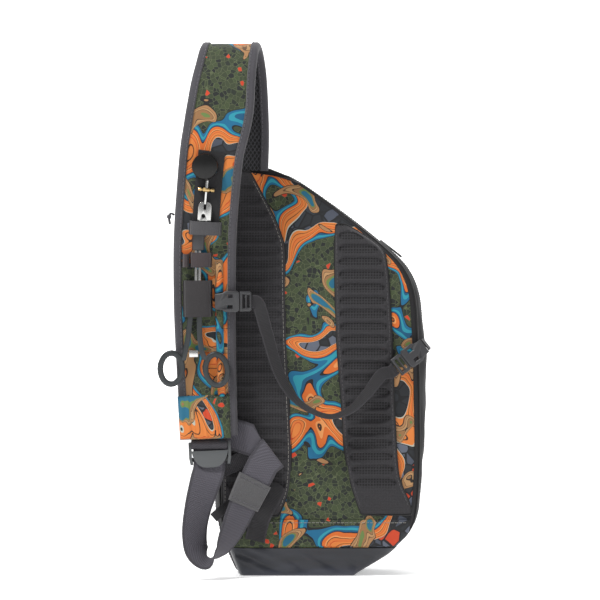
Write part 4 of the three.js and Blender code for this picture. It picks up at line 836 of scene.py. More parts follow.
# %% The base
BASE_COLUMNS = 180
BASE_ROWS = 15
BASE_TOP = SEAM_Z - 0.0008
BASE_LOW = 0.0012
BASE_DEEP = 0.75
BASE_MIDDLE_X = 0.01
FOOT_Z = 0.0002
FOOT_SHARES = (0.985, 0.7, 0.35, 0.02)
RIDGE_DEPTH = 0.0042
RIDGE_SHARP = 2.2
base_levels = np.linspace(BASE_TOP, BASE_LOW, BASE_ROWS)
base_rows = []
for z in base_levels:
    row = []
    centre = Vector((BASE_MIDDLE_X, 0.0, z))
    for angle in np.linspace(0, 2 * math.pi, BASE_COLUMNS):
        direction = Vector((math.cos(angle), BASE_DEEP * math.sin(angle), 0)).normalized()
        spot = ring_point(centre, direction)
        row.append(spot if spot else row[-1])
    base_rows.append(row)
base = smoothed(np.array(base_rows, float), 1)
foot = base[-1].copy()
foot[:, 2] = FOOT_Z
centre = foot.mean(axis=0)
closing = [centre + (foot - centre) * share for share in FOOT_SHARES]
base = np.concatenate([base, np.array(closing)])
for i in range(len(base_levels)):
    ease = math.sin(math.pi * i / (len(base_levels) - 1))
    for j in range(BASE_COLUMNS):
        x, y, z = base[i, j]
        # slanting axes, short across a ridge and long along it
        slant = Vector(((x + 1.6 * z) / 0.045, y / 0.05, (z - 0.5 * x) / 0.14))
        ridge = 1 - RIDGE_SHARP * abs(noise.noise(slant))
        base[i, j, 1] += RIDGE_DEPTH * ease * ridge * (1 if y < 0 else -1)
dress(lay_grid("base_cloth_tub", base, base_cloth, (0, -1, 0), CLOTH), "base_cloth", "base_panel")

# %% [markdown]
# ## The neck
# The top of the bag closes in a short flat neck, which the strap's root covers. A
# small dome of the gusset's cloth closes it.

# %% Neck cap
CAP_RINGS = [
    # share of the neck's ring, lift
    (1.0, 0.0), (0.98, 0.0004), (0.7, 0.0005), (0.35, 0.0005), (0.02, 0.0005),
]
ring = np.concatenate([back[-1], gusset_right[-1][1:], zip_right[-1][1:], front[-1][1:-1],
                       zip_left[-1][::-1], gusset_left[-1][::-1][1:-1]])
centre = ring.mean(axis=0)
cap_rows = []
for share, lift in CAP_RINGS:
    row = centre + (ring - centre) * share
    row[:, 2] = ring[:, 2] + lift
    cap_rows.append(np.concatenate([row, row[:1]]))
dress(lay_grid("neck_cap", np.array(cap_rows), gusset_cloth, (0, 0, 1)), "gusset_cloth")

# %% [markdown]
# ## Back pads
# A pad is foam under a perforated cloth. Level cuts through the pad's solid give
# its two edges, and its thickness comes from the solid too. Between them the foam
# crowns: it rises steeply at the edge and flattens out. Both pads are moulded into
# low bands whose ends are round, deeper on the right pad. An attribute says where
# the cloth is punched, and the finish reads it. The holes are the real punching, but
# they are denser in the sunk bands, and that darkening is painted shade.

# %% The pads
PAD_COLUMNS = 72
PAD_ROW = 0.0015
PAD_ENDS = 0.012
PAD_EDGE = 0.011
PAD_BED = 0.001
PAD_NIP = 0.0003
PAD_END_RISE = 0.25
BAND_PITCH = 0.0156
BAND_MARGIN = 0.0048
BAND_END = 0.011
BAND_STEEP = 2.6
PADS = {
    # relief, lowest and highest band, least punching, how much more in a band (painted shade), plain margin,
    # depth and seed of the folds
    "left_back_pad": (0.0021, 0.105, 0.47, 0.35, 0.4, 0.0055, 0.0006, 2.0),
    "right_back_pad": (0.0029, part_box("right_back_pad")[0][2] + 0.0303, 1.0, 0.15, 0.85, 0.0045, 0.0005, 4.0),
}


def quarter_round(share):
    """A height that rises as a quarter of a circle does while the share goes from 0 to 1."""
    return math.sqrt(max(0, 1 - (1 - min(1, share)) ** 2))


def pad_grid(name):
    """A crowned pad with moulded bands over the node's outline, and where its cloth is punched, denser in the
    sunk bands as painted shade.
    """
    relief, band_low, band_high, least, more, plain, _, _ = PADS[name]
    low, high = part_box(name)
    triangles = triangles_of([name])
    rows = np.linspace(low[2] + PAD_NIP, high[2] - PAD_NIP, int((high[2] - low[2]) / PAD_ROW))
    spans = [cut_at(triangles, z) for z in rows]
    left = smoothed([s[:, 0].min() for s in spans], 4)
    right = smoothed([s[:, 0].max() for s in spans], 4)
    top = smoothed([s[:, 1].min() for s in spans], 6)
    bed = np.array([back_point((a + b) / 2, z) for a, b, z in zip(left, right, rows)])
    bed = smoothed([b if b else 0 for b in bed], 6)
    points = np.zeros((len(rows), PAD_COLUMNS, 3))
    holes_and_band_shade = np.zeros((len(rows), PAD_COLUMNS))
    for i, z in enumerate(rows):
        end_share = quarter_round(min(z - rows[0], rows[-1] - z) / PAD_ENDS)
        wave = 0.5 - 0.5 * math.cos(2 * math.pi * (z - rows[0]) / BAND_PITCH)
        for j, share in enumerate(np.linspace(0, 1, PAD_COLUMNS)):
            # the columns gather at both edges, where the crown is steep
            spread = 0.5 * share + 0.5 * (0.5 - 0.5 * math.cos(math.pi * share))
            x = left[i] + (right[i] - left[i]) * spread
            inward = min(x - left[i], right[i] - x)
            rise = quarter_round(inward / PAD_EDGE) * (PAD_END_RISE + (1 - PAD_END_RISE) * end_share)
            opened = wave - 1 + quarter_round(max(0, inward - BAND_MARGIN) / BAND_END)
            sunk = min(1, max(0, opened * BAND_STEEP)) if band_low < z < band_high else 0
            lift = (bed[i] - top[i]) * rise - relief * sunk
            # more dark holes in a sunk band: painted shade in the recess, over the real punching
            holes_and_band_shade[i, j] = least + more * sunk if inward > plain else 0.0
            points[i, j] = (x, bed[i] + PAD_BED - lift, z)
    return points, holes_and_band_shade


def give_attribute(piece, name, values):
    """Stores one number per point, for the material to read."""
    store = piece.data.attributes.new(name, "FLOAT", "POINT")
    store.data.foreach_set("value", values.reshape(-1).astype(float))


PAD_FOLD_SIZE = 0.04
pads = {}
for node, word in (("left_back_pad", "left_pad"), ("right_back_pad", "right_pad")):
    points, holes_and_band_shade = pad_grid(node)
    pads[word] = wrinkled(points, (0, 1, 0), PAD_FOLD_SIZE, *PADS[node][-2:])
    piece = lay_grid(word + "_cloth", pads[word], pad_cloth, (0, -1, 0))
    give_attribute(piece, "holes_and_band_shade", holes_and_band_shade)
    dress(piece, "pad_cloth", node)

# %% [markdown]
# ## Painted gap shadow and thread
# A thin near-black tube round each pad's seam is painted shadow of the gap there.
# A row of stitches is one thread that comes up, runs along the cloth and dives
# again, so it is modelled as one thin tube whose middle line rises above the cloth
# and sinks under it, stitch after stitch.

# %% Tubes and stitches
STITCH = 0.0034
STITCH_GAP = 0.0016
THREAD = 0.00045
FINE_THREAD = 0.0003
STITCH_POINTS = 7
STITCH_UP = 0.4
STITCH_DOWN = -3.0
TUBE_END = 0.1
TUBE_ASIDE = (0.0, -1.0, 0.25)


def along_route(route, step):
    """Places at equal steps along a row of points, and how far along each lies."""
    route = np.asarray(route, float)
    far = arc_lengths(route)
    count = max(int(far[-1] / step), 2)
    at = np.linspace(0, far[-1], count)
    return np.stack([np.interp(at, far, route[:, k]) for k in range(3)], axis=1), at


def lay_round(name, points, material, outward, slot, *replaced):
    """A grid whose rows close on themselves, welded and dressed."""
    piece = lay_grid(name, points, material, outward)
    weld(piece)
    return dress(piece, slot, *replaced)


def tube(name, route, radius, material, slot, columns=7):
    """A round tube along a row of points, with its ends drawn shut."""
    along = np.gradient(route, axis=0)
    along /= np.linalg.norm(along, axis=1)[:, None]
    side = np.cross(along, TUBE_ASIDE)
    side /= np.linalg.norm(side, axis=1)[:, None]
    other = np.cross(along, side)
    sizes = np.array(np.broadcast_to(radius, len(route)), float)
    sizes[0] = sizes[-1] = sizes.min() * TUBE_END
    turns = np.linspace(0, 2 * math.pi, columns)
    points = np.array([[p + (a * math.cos(t) + b * math.sin(t)) * size for t in turns]
                       for p, a, b, size in zip(route, side, other, sizes)])
    return lay_round(name, points, material, (0, 0, 1), slot)


def stitches(name, route, outward, material, slot, stitch=STITCH, gap=STITCH_GAP, thread=THREAD):
    """A row of stitches along a route on the cloth. outward is one direction, or one per point."""
    places, far = along_route(route, (stitch + gap) / STITCH_POINTS)
    out = np.broadcast_to(np.asarray(outward, float), np.shape(route))
    at = arc_lengths(np.asarray(route, float))
    normals = np.stack([np.interp(far, at, out[:, k]) for k in range(3)], axis=1)
    phase = (far % (stitch + gap)) / (stitch + gap)
    up = np.where(phase < stitch / (stitch + gap), STITCH_UP * thread, STITCH_DOWN * thread)
    return tube(name, places + normals * up[:, None], thread, material, slot, 6)


PAD_GAP_SHADOW = 0.0011
PAD_RIM = (0, -0.0012, 0)
PAD_GAP_SHADOW_STEP = 0.003
PAD_SEAM = 5
for word, thread in (("left_pad", stitch_thread), ("right_pad", dark_thread)):
    points = pads[word]
    rim = [points[::3, 0], points[-1, 3:-3:3], points[::-3, -1], points[0, -3:3:-3], points[:1, 0]]
    rim, _ = along_route(np.concatenate(rim) + np.array(PAD_RIM), PAD_GAP_SHADOW_STEP)
    # a near-black tube round the pad: painted shadow of the gap at its seam
    tube(word + "_piping", rim, PAD_GAP_SHADOW, piping_and_gap_shadow, "pad_cloth")
    for edge, column in (("left", PAD_SEAM), ("right", -PAD_SEAM - 1)):
        stitches(f"{word}_{edge}_stitches", points[8:-8, column], (0, -1, 0), thread, "pad_cloth",
                 thread=FINE_THREAD)

# %% [markdown]
# ## The shoulder strap
# The strap is a padded band on a smooth route, from the neck over an arch and down
# to the buckle. The route repeats the solid's own rows, as shares of its reach,
# stand-off and height. A centripetal spline goes through them without overshoot.

# %% Route splines
def spline_point(rows, share):
    """A point on a centripetal Catmull-Rom spline through the rows, at a share of its length."""
    last = len(rows) - 1
    at = min(max(share, 0.0), 1.0) * last
    i = min(int(at), last - 1)
    w = at - i
    p1, p2 = rows[i], rows[i + 1]
    p0 = rows[i - 1] if i > 0 else 2 * rows[0] - rows[1]
    p3 = rows[i + 2] if i + 2 <= last else 2 * rows[last] - rows[last - 1]
    d0, d1, d2 = (max(np.linalg.norm(b - a) ** 0.5, 1e-6) for a, b in ((p0, p1), (p1, p2), (p2, p3)))
    t1 = ((p1 - p0) / d0 - (p2 - p0) / (d0 + d1) + (p2 - p1) / d1) * d1
    t2 = ((p2 - p1) / d1 - (p3 - p1) / (d1 + d2) + (p3 - p2) / d2) * d1
    return (p1 + t1 * w + (-3 * p1 + 3 * p2 - 2 * t1 - t2) * w ** 2 + (2 * p1 - 2 * p2 + t1 + t2) * w ** 3)


def spline_along(rows, share):
    """The direction of the spline there."""
    step = 1e-4
    way = spline_point(rows, share + step) - spline_point(rows, share - step)
    return way / np.linalg.norm(way)


# %% [markdown]
# ## The strap's cloth
# The face is printed cloth over foam and the lining is open mesh. Both are grids that
# are carried along the strap by its stations: a place, a direction across, one out
# and a half width. The face crowns a little, because foam fills it.

# %% The strap's face and lining
STRAP_TOP = 0.635
STRAP_REACH = 0.1094
STRAP_STANDOFF = 0.119
STRAP_WIDTH = 0.076
FACE_LIFT = 0.004
SEAT = 0.00035
NECK_OVERLAP = 0.0035
FACE_INSET = 0.0016
FACE_CROWN = 0.0012
FACE_THICK = 0.002
FACE_FOLD = 0.0005
FACE_FOLD_SIZE = 0.03
STRAP_PATH = np.array([
    # across, out, up, wide
    (0.65, 0.32, 0.7765, 0.97), (0.65, 0.335, 0.835, 1.0), (0.66, 0.37, 0.898, 1.0),
    (0.67, 0.437, 0.951, 0.97), (0.69, 0.555, 0.987, 0.93), (0.713, 0.706, 1.0, 0.9),
    (0.736, 0.85, 0.989, 0.92), (0.768, 0.95, 0.957, 0.95), (0.8, 0.992, 0.921, 1.01),
    (0.827, 1.0, 0.882, 1.06), (0.868, 0.992, 0.844, 1.04), (0.914, 0.971, 0.806, 1.0),
    (0.96, 0.933, 0.731, 0.985), (0.996, 0.899, 0.638, 0.985), (1.0, 0.874, 0.523, 0.98),
    (0.992, 0.853, 0.444, 0.955), (0.976, 0.836, 0.359, 0.92), (0.96, 0.828, 0.296, 0.905),
    (0.953, 0.824, 0.268, 0.895),
])
strap_rows = STRAP_PATH[:, :3] * (-STRAP_REACH, -STRAP_STANDOFF, STRAP_TOP)
STRAP_STATIONS = 220


def strap_station(share):
    """Place, across, out, along and half width of the strap at a share of its route."""
    place = spline_point(strap_rows, share)
    along = spline_along(strap_rows, share)
    across = np.array([1.0, 0, 0]) - along * along[0]
    across /= np.linalg.norm(across)
    out = np.cross(along, across)
    half = np.interp(share * (len(STRAP_PATH) - 1), range(len(STRAP_PATH)), STRAP_PATH[:, 3])
    return place, across, out, along, half * STRAP_WIDTH / 2


stations = [strap_station(s) for s in np.linspace(0, 1, STRAP_STATIONS)]
halves = smoothed([s[4] for s in stations], 6)
MIDDLE_OUT = stations[STRAP_STATIONS // 2][2]


def strap_grid(sections):
    """Rows of (across, out) offsets carried along the strap."""
    points = np.zeros((STRAP_STATIONS, len(sections[0]), 3))
    for i, (place, across, out, _, _) in enumerate(stations):
        for j, (u, v) in enumerate(sections[i]):
            points[i, j] = place + across * u + out * v
    points[0, :, 2] = body_height - NECK_OVERLAP
    return points


def band_section(half, lift, columns, crown):
    """Offsets from edge to edge of a cloth that crowns a little between its edges."""
    return [(half * s, lift + crown * (1 - s ** 4)) for s in np.linspace(-1, 1, columns)]


low = FACE_LIFT - FACE_THICK / 2
face = strap_grid([band_section(h - FACE_INSET, low, 40, FACE_CROWN) for h in halves])
lining = strap_grid([band_section(h - FACE_INSET, -low, 24, -FACE_CROWN) for h in halves])
face_soft = wrinkled(face, (0, 1, 0), FACE_FOLD_SIZE, FACE_FOLD, 6.0)
piece = lay_grid("strap_print", face_soft, print_warm, MIDDLE_OUT, FACE_THICK)
dress(piece, "printed_cloth", "strap_face")
piece = lay_grid("strap_mesh", lining, spacer_mesh, -MIDDLE_OUT, FACE_THICK)
dress(piece, "spacer_mesh", "strap_lining")

# %% [markdown]
# ## The strap's bindings
# A folded tape closes each raw edge of the strap. Its section goes once round the
# edge, with a soft outer fold, and one row of stitches runs along it on both sides.

# %% Strap binding
BINDING_WIDTH = 0.010
BINDING = 0.0012
BINDING_SEAM = BINDING_WIDTH - 0.002
BINDING_LIP = 0.0008
BINDING_BEND = 0.0035
BINDING_FLAT = 0.004
BINDING_SWELL = 0.0001
BINDING_CORE = 0.0008
BINDING_SLACK = 0.0002


def binding_section(half, side):
    """Once round the strap's edge: a folded tape, thicker at its outer fold."""
    lift = FACE_LIFT + SEAT
    over = lift + BINDING
    lip = half - BINDING_WIDTH
    flat = half - BINDING_FLAT
    core = half - BINDING - BINDING_CORE
    turns = [(lip, lift), (lip + BINDING_LIP, over), (flat, over + BINDING_SWELL)]
    turns += [(half - BINDING_BEND + BINDING_BEND * math.sin(a), over * math.cos(a))
              for a in np.linspace(0.25, math.pi - 0.25, 9)]
    turns += [(flat, -over - BINDING_SWELL), (lip + BINDING_LIP, -over), (lip, -lift)]
    turns += [(core, -lift + BINDING_SLACK), (core, lift - BINDING_SLACK), (lip, lift)]
    return [(side * u, v) for u, v in turns]


outs = np.array([station[2] for station in stations])[6:-3]
for name, side in (("strap_binding_left", -1), ("strap_binding_right", 1)):
    points = strap_grid([binding_section(h, side) for h in halves])
    lay_round(name + "_tape", points, binding_tape, (0, 0, 1), "binding_tape", name)
    for row, way in (("front", 1), ("back", -1)):
        lift = way * (FACE_LIFT + SEAT + BINDING)
        line = strap_grid([[(side * (h - BINDING_SEAM), lift)] for h in halves])[6:-3, 0]
        stitches(f"{name}_{row}_stitches", line, outs * way, grey_thread, "binding_tape")

# %% [markdown]
# ## The tab at the strap's end
# A puffed tab closes the strap's end and laps over its left binding. It is a small
# pillow: its upper face crowns between its four sides, and fine gathers run down it
# from the seam. Its foot is flat, because it lies on the bindings.

# %% The end tab
TAB_START = 0.9
TAB_PAST = 0.003
TAB_ROWS = 26
TAB_SIDES = (-1.02, 0.76)
TAB_FOOT = FACE_LIFT + SEAT + BINDING + 0.0003
TAB_PUFF = 0.0078
GATHER = 0.0018


def tab_section(share, half):
    """Once round the tab at a share of its length: the puffed face and then the flat foot."""
    left, right = (side * half for side in TAB_SIDES)
    end = (1 - (2 * share - 1) ** 6) ** 0.5
    section = []
    for u in np.linspace(-1, 1, 49):
        crown = (1 - u ** 4) ** 0.5 * end
        gather = noise.noise(Vector((u * 9, share * 1.3, 4.0))) * GATHER * crown
        section.append(((left + right) / 2 + u * (right - left) / 2, TAB_FOOT + TAB_PUFF * crown + gather))
    section += [(x, TAB_FOOT) for x in np.linspace(right, left, 9)]
    return section


tab_rows = []
for share in np.linspace(0, 1, TAB_ROWS):
    place, across, out, along, half = strap_station(TAB_START + (1 - TAB_START) * share)
    foot = place + along * TAB_PAST * share
    tab_rows.append([foot + across * x + out * lift for x, lift in tab_section(share, half)])
tab = closed_ends(np.array(tab_rows))
piece = lay_round("strap_end_tab_cloth", tab, print_tab, MIDDLE_OUT, "printed_cloth", "strap_end_tab")

# %% [markdown]
# ## Webbing
# Webbing is a flat ribbon that bends and twists along its length but hardly ever
# sideways. Each ribbon repeats the rows of its solid: where its middle goes and
# which way its width points.

# %% Ribbons
def ribbon_frames(places, widths, count):
    """Place, across and out at equal shares of a ribbon's route."""
    found = []
    for share in np.linspace(0, 1, count):
        along = spline_along(places, share)
        across = spline_point(widths, share)
        across = across - along * np.dot(across, along)
        across /= np.linalg.norm(across)
        found.append((spline_point(places, share), across, np.cross(along, across)))
    return found


def ribbon_section(width, thick, columns=15):
    """Once round a ribbon: a flat band with softly rounded edges, and how near the edge each is."""
    half, deep = width / 2, thick / 2
    shares = np.linspace(-1, 1, columns)
    upper = [(s * (half - deep * 0.6), deep) for s in shares]
    lower = [(s * (half - deep * 0.6), -deep) for s in shares[::-1]]
    section = upper + [(half, 0)] + lower + [(-half, 0)]
    near = [abs(u) / half for u, _ in section]
    return section + section[:1], np.array(near + near[:1])


def lay_ribbon(name, frames, width, thick, material, slot, node):
    """A ribbon with closed ends. across may be shorter than 1 where the ribbon is cut round."""
    section, near = ribbon_section(width, thick)
    points = closed_ends(np.array([[p + a * u + o * v for u, v in section] for p, a, o in frames]))
    piece = lay_grid(name, points, material, frames[len(frames) // 2][2])
    give_attribute(piece, "edge", np.tile(near, (len(points), 1)))
    weld(piece)
    dress(piece, slot, node)


# %% [markdown]
# ## The adjusting webbing
# It leaves the ladder lock, hangs in a loop, climbs through its keeper and folds over
# at a sharp crease before it runs into the seam. So it is three routes joined into
# one: the hanging loop, the flat fold and the tail that turns into the seam.

# %% The adjusting webbing
WEB_WIDTH = 0.038
WEB_THICK = 0.0018
STRAP_END = np.array((-104.3, -98.1, 170.2)) * MM
LOOP_REACH = np.array((66, 30, -148)) * MM
WEB_LOOP = np.array([
    # across, back, down, then the way its width points
    (0, 0.06, 0.075, 1, 0, 0), (0, 0, 0.125, 1, 0, 0),
    (0, -0.02, 0.26, 1, 0.02, -0.05), (-0.09, -0.25, 0.4, 0.92, 0.35, -0.05),
    (-0.2, -0.4, 0.58, 0.82, 0.55, 0), (-0.26, -0.35, 0.78, 0.74, 0.64, 0.1),
    (-0.21, -0.3, 0.92, 0.64, 0.7, 0.25), (-0.02, -0.2, 0.99, 0.5, 0.78, 0.3),
    (0.19, -0.1, 0.93, 0.46, 0.8, 0.1), (0.38, 0, 0.79, 0.6, 0.66, -0.2),
    (0.55, 0.04, 0.62, 0.74, 0.5, -0.38), (0.72, 0.06, 0.455, 0.83, 0.32, -0.44),
    (0.86, 0.1, 0.33, 0.87, 0.16, -0.46), (0.965, 0.14, 0.235, 0.88, 0, -0.47),
])
FOLD_PLACE = STRAP_END + LOOP_REACH * (1.13, 0.15, 0.145)
FOLD_CREASE = np.array((0.6, 0, -0.8)) * 1.11
FOLD_OUTSIDE = np.array((0.8, 0, 0.6))
FOLD_TURN = 1.6 * MM
FOLD_STEPS = [
    # back and past as shares of the turn, then which way the webbing faces
    (0, 0, (0, 1, 0)), (0.3, 0.7, (-0.56, 0.71, -0.42)), (1, 1, (-0.8, 0, -0.6)),
    (1.7, 0.7, (-0.56, -0.71, -0.42)), (2, 0, (0, -1, 0)),
]
LOOP_TAIL = [(0.72, 0.33, 0.03), (0.42, 0.38, -0.01), (0.2, 0.38, -0.01)]
SEAM_END = [(-0.10085, -8 * MM), (-0.09935, 8 * MM), (-0.09935, 24 * MM)]

loop_places = STRAP_END + LOOP_REACH * WEB_LOOP[:, :3]
loop_frames = ribbon_frames(loop_places, WEB_LOOP[:, 3:], 120)
fold_frames = [(FOLD_PLACE + FOLD_OUTSIDE * past * FOLD_TURN + np.array((0, back * FOLD_TURN, 0)),
                FOLD_CREASE, np.array(out, float)) for back, past, out in FOLD_STEPS]
tail_places = [STRAP_END + LOOP_REACH * row for row in LOOP_TAIL]
tail_z = tail_places[-1][2]
tail_seam = -66 * MM
tail_places += [np.array((x, tail_seam + y, tail_z)) for x, y in SEAM_END]
tail_frames = ribbon_frames(np.array(tail_places), np.tile((0.0, 0, -1), (len(tail_places), 1)), 30)


def between(first, last, count):
    """Frames that lead evenly from one frame to another."""
    return [tuple(a + (b - a) * share for a, b in zip(first, last))
            for share in np.linspace(0, 1, count + 2)[1:-1]]


route = list(loop_frames) + between(loop_frames[-1], fold_frames[0], 3)
for first, last in zip(fold_frames, fold_frames[1:]):
    route += [first] + between(first, last, 1)
route += [fold_frames[-1]] + between(fold_frames[-1], tail_frames[0], 5) + list(tail_frames)
lay_ribbon("adjusting_webbing", route, WEB_WIDTH, WEB_THICK, webbing_tape, "webbing_tape", "main_webbing")

# %% [markdown]
# ## The keeper
# A short sleeve of elastic holds the webbing's two layers together. It is a ring that
# is swept along the webbing's own route: its outside first and its inside back again,
# with a small bulge in the middle. A row of stitches crosses it near each end.

# %% The keeper
KEEPER_ROWS = (10.35, 11.8)
KEEPER_STEPS = 16
KEEPER_SIZE = (WEB_WIDTH + 5 * MM, WEB_THICK + 4 * MM)
KEEPER_HOLE = (WEB_WIDTH + 1.6 * MM, WEB_THICK + 1.9 * MM)
KEEPER_BULGE = 0.0006
KEEPER_SEAM = 0.019
FINE_COUNT = 241

shares = np.linspace(*KEEPER_ROWS, KEEPER_STEPS + 1) / (len(WEB_LOOP) - 1)
fine_frames = ribbon_frames(loop_places, WEB_LOOP[:, 3:], FINE_COUNT)
keeper_frames = [fine_frames[int(round(s * (FINE_COUNT - 1)))] for s in shares]
keeper_rows = []
for size, order, bulge in ((KEEPER_SIZE, keeper_frames, KEEPER_BULGE), (KEEPER_HOLE, keeper_frames[::-1], 0)):
    for i, (p, a, o) in enumerate(order):
        section, _ = ribbon_section(size[0], size[1] + bulge * math.sin(math.pi * i / KEEPER_STEPS))
        keeper_rows.append([p + a * u + o * v for u, v in section])
keeper_rows.append(keeper_rows[0])
lay_round("keeper_sleeve", np.array(keeper_rows), keeper_tape, keeper_frames[KEEPER_STEPS // 2][2],
          "elastic_tape", "webbing_keeper")
for i, at in enumerate((2, -3)):
    p, a, o = keeper_frames[at]
    for word, side in (("outer", 1), ("inner", -1)):
        lift = side * (KEEPER_SIZE[1] / 2 + 0.0002)
        line = [p + a * u + o * lift for u in np.linspace(-KEEPER_SEAM, KEEPER_SEAM, 12)]
        stitches(f"keeper_stitches_{i}_{word}", line, o * side, grey_thread, "elastic_tape")

# %% [markdown]
# ## The stabiliser webbing
# This narrow webbing sags between two buckles, from the strap to the bag's far side.
# Its rows say how far it is along the straight line, how far it sags below it and
# stands out from it, and which way its width points, because it twists as it hangs.

# %% The stabiliser webbing
NARROW_WIDTH = 0.0155
NARROW_THICK = 0.0016
STABILISER_START = np.array((-53.3, -117.6, 330.6)) * MM
STABILISER_END = np.array((118.7, -78.3, 250.6)) * MM
STABILISER = np.array([
    # share of the way, out, sag, then the way its width points
    (0, 0, 0, 0, 0, 1), (0.035, 0, -0.03, 0, 0, 1), (0.1, 0.4, 0.42, 0.85, 0.35, 0.35),
    (0.19, 0.4, 1.1, 0.8, 0.6, 0.2), (0.29, 0.1, 1.42, 0.4, 0.9, 0.35),
    (0.42, -0.1, 1.52, 0.15, 0.95, 0.3), (0.55, -0.1, 1.46, 0.05, 0.95, 0.3),
    (0.68, 0, 1.18, -0.2, 0.9, 0.5), (0.8, 0.1, 0.72, -0.4, 0.6, 0.7), (0.91, 0.1, 0.22, -0.5, 0.15, 0.85),
    (0.965, 0, 0.12, -0.6, 0, 0.8), (1, 0, 0, -0.6, 0, 0.8),
])
SAG = 0.064
OUT = 0.012

stabiliser_places = np.array([STABILISER_START + (STABILISER_END - STABILISER_START) * row[0]
                              - np.array((0, row[1] * OUT, row[2] * SAG)) for row in STABILISER])
stabiliser_frames = ribbon_frames(stabiliser_places, STABILISER[:, 3:], 110)
lay_ribbon("stabiliser_tape", stabiliser_frames, NARROW_WIDTH, NARROW_THICK, narrow_tape, "webbing_tape",
           "stabiliser_webbing")

# %% [markdown]
# ## Webbing sewn to the back
# Three short tapes lie on other pieces. Each is laid on its own solid by rays, so
# only its middle line is given. The anchor tape is cut round at its free end, which
# a taper of its width draws.

# %% Webbing on the back
BACK_TAPES = [
    # name, node, middle line as (x, z) in mm, the way its width points, width, material, slot
    ("anchor_tape", "anchor_webbing", [(-50.3, 43), (-45.4, 64), (-38.9, 81.2), (-29.2, 98.4), (-22.2, 113)],
     (0.9, 0, -0.4), 0.024, narrow_tape, "webbing_tape"),
    ("side_elastic_tape", "side_elastic", [(-92, 128.5), (-75.6, 136), (-54.6, 146.7)],
     (0.4, 0, -0.9), 0.020, elastic_tape, "elastic_tape"),
    ("side_strap_tape", "side_strap", [(-99.8, 70.6), (-90.7, 79), (-78.3, 89.5)],
     (0.6, 0, -0.8), 0.012, narrow_tape, "webbing_tape"),
]
ANCHOR_ROUND = 0.009
ROUND_LEAST = 0.05


def taper(frames, reach):
    """Draws the last stretch of a ribbon in, so that it ends in a half round."""
    end = frames[-1][0]
    found = []
    for place, across, out in frames:
        share = quarter_round(np.linalg.norm(end - place) / reach)
        found.append((place, across * max(ROUND_LEAST, share), out))
    return found


def on_node(node, x, z, lift):
    """A point just on the near side of a solid, at this x and z."""
    hit = tree_of([node]).ray_cast(Vector((x, -FAR, z)), Vector((0, 1, 0)))[0]
    return np.array((x, hit.y + lift, z))


for name, node, line, way, width, material, slot in BACK_TAPES:
    places = np.array([on_node(node, x * MM, z * MM, NARROW_THICK / 2) for x, z in line])
    frames = ribbon_frames(places, np.tile(np.array(way, float), (len(places), 1)), 40)
    if node == "anchor_webbing":
        frames = taper(frames, ANCHOR_ROUND)
    lay_ribbon(name, frames, width, NARROW_THICK, material, slot, node)

# %% [markdown]
# ## The rolled end
# The webbing's spare end is rolled up behind the strap. A spiral of level rows
# follows the solid's box, and a small sideways drift keeps the turns from being
# perfectly flush, as hand-rolled webbing never is.

# %% The rolled end
ROLL_TURNS = 2.4
ROLL_START = -0.9
ROLL_CORE = 0.0022
ROLL_DRIFT = 0.0006
ROLL_DRIFT_PACE = 7
ROLL_THICK = WEB_THICK * 0.85
roll_low, roll_high = (np.array(corner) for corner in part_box("webbing_roll"))
roll_middle = (roll_low + roll_high) / 2
roll_radius = (roll_high[2] - roll_low[2]) / 2
roll_rows = []
for share in np.linspace(0, 1, 60):
    angle = 2 * math.pi * ROLL_TURNS * share + ROLL_START
    reach = ROLL_CORE + (roll_radius - WEB_THICK / 2 - ROLL_CORE) * share
    spot = roll_middle + np.array((0, math.cos(angle) * reach, math.sin(angle) * reach))
    inset = ROLL_DRIFT * math.sin(ROLL_DRIFT_PACE * share) - roll_middle[0]
    roll_rows.append([spot + np.array((u, 0, 0))
                      for u in np.linspace(roll_low[0] + inset, roll_high[0] + inset, 9)])
piece = lay_grid("rolled_end", np.array(roll_rows), roll_tape, (0, 0, 1), ROLL_THICK, offset=0)
dress(piece, "webbing_tape", "webbing_roll")

# %% [markdown]
# ## The bottle pocket
# The pocket is a cloth tube that runs into the body, with a bound mouth. The panels
# were laid across the mouth, so that their folds run on, and are cut open now.

# %% Cut the mouth and line it
MOUTH_CUT = 0.0444
SLEEVE_RADIUS = 0.0427
SLEEVE_END = 0.0555
SLEEVE_ROUND = 0.007
SLEEVE_DOME = 0.0015
RIM_RADIUS = MOUTH_RADIUS + 0.0012
LOWEST_POINT = 0.0012
LOWEST_RAY = 0.0035
CUTTER_LENGTH = 0.14
MOUTH_COLUMNS = 73
mouth_turns = np.linspace(0, 2 * math.pi, MOUTH_COLUMNS)

bpy.ops.mesh.primitive_cylinder_add(vertices=96, radius=MOUTH_CUT, depth=CUTTER_LENGTH,
                                    rotation=(0, math.pi / 2, 0),
                                    location=(-CUTTER_LENGTH / 2, MOUTH_Y, MOUTH_Z))
cutter = bpy.context.object
for name in ("gusset_left", "zip_left", "front_cloth", "base_cloth_tub"):
    apply_modifier(bpy.data.objects[name], "BOOLEAN", object=cutter, operation="DIFFERENCE", solver="EXACT")
bpy.data.objects.remove(cutter)


def mouth_ring(radius, depths):
    """A ring of points round the pocket's axis."""
    return [(x, MOUTH_Y + radius * math.cos(t), max(LOWEST_POINT, MOUTH_Z + radius * math.sin(t)))
            for x, t in zip(depths, mouth_turns)]


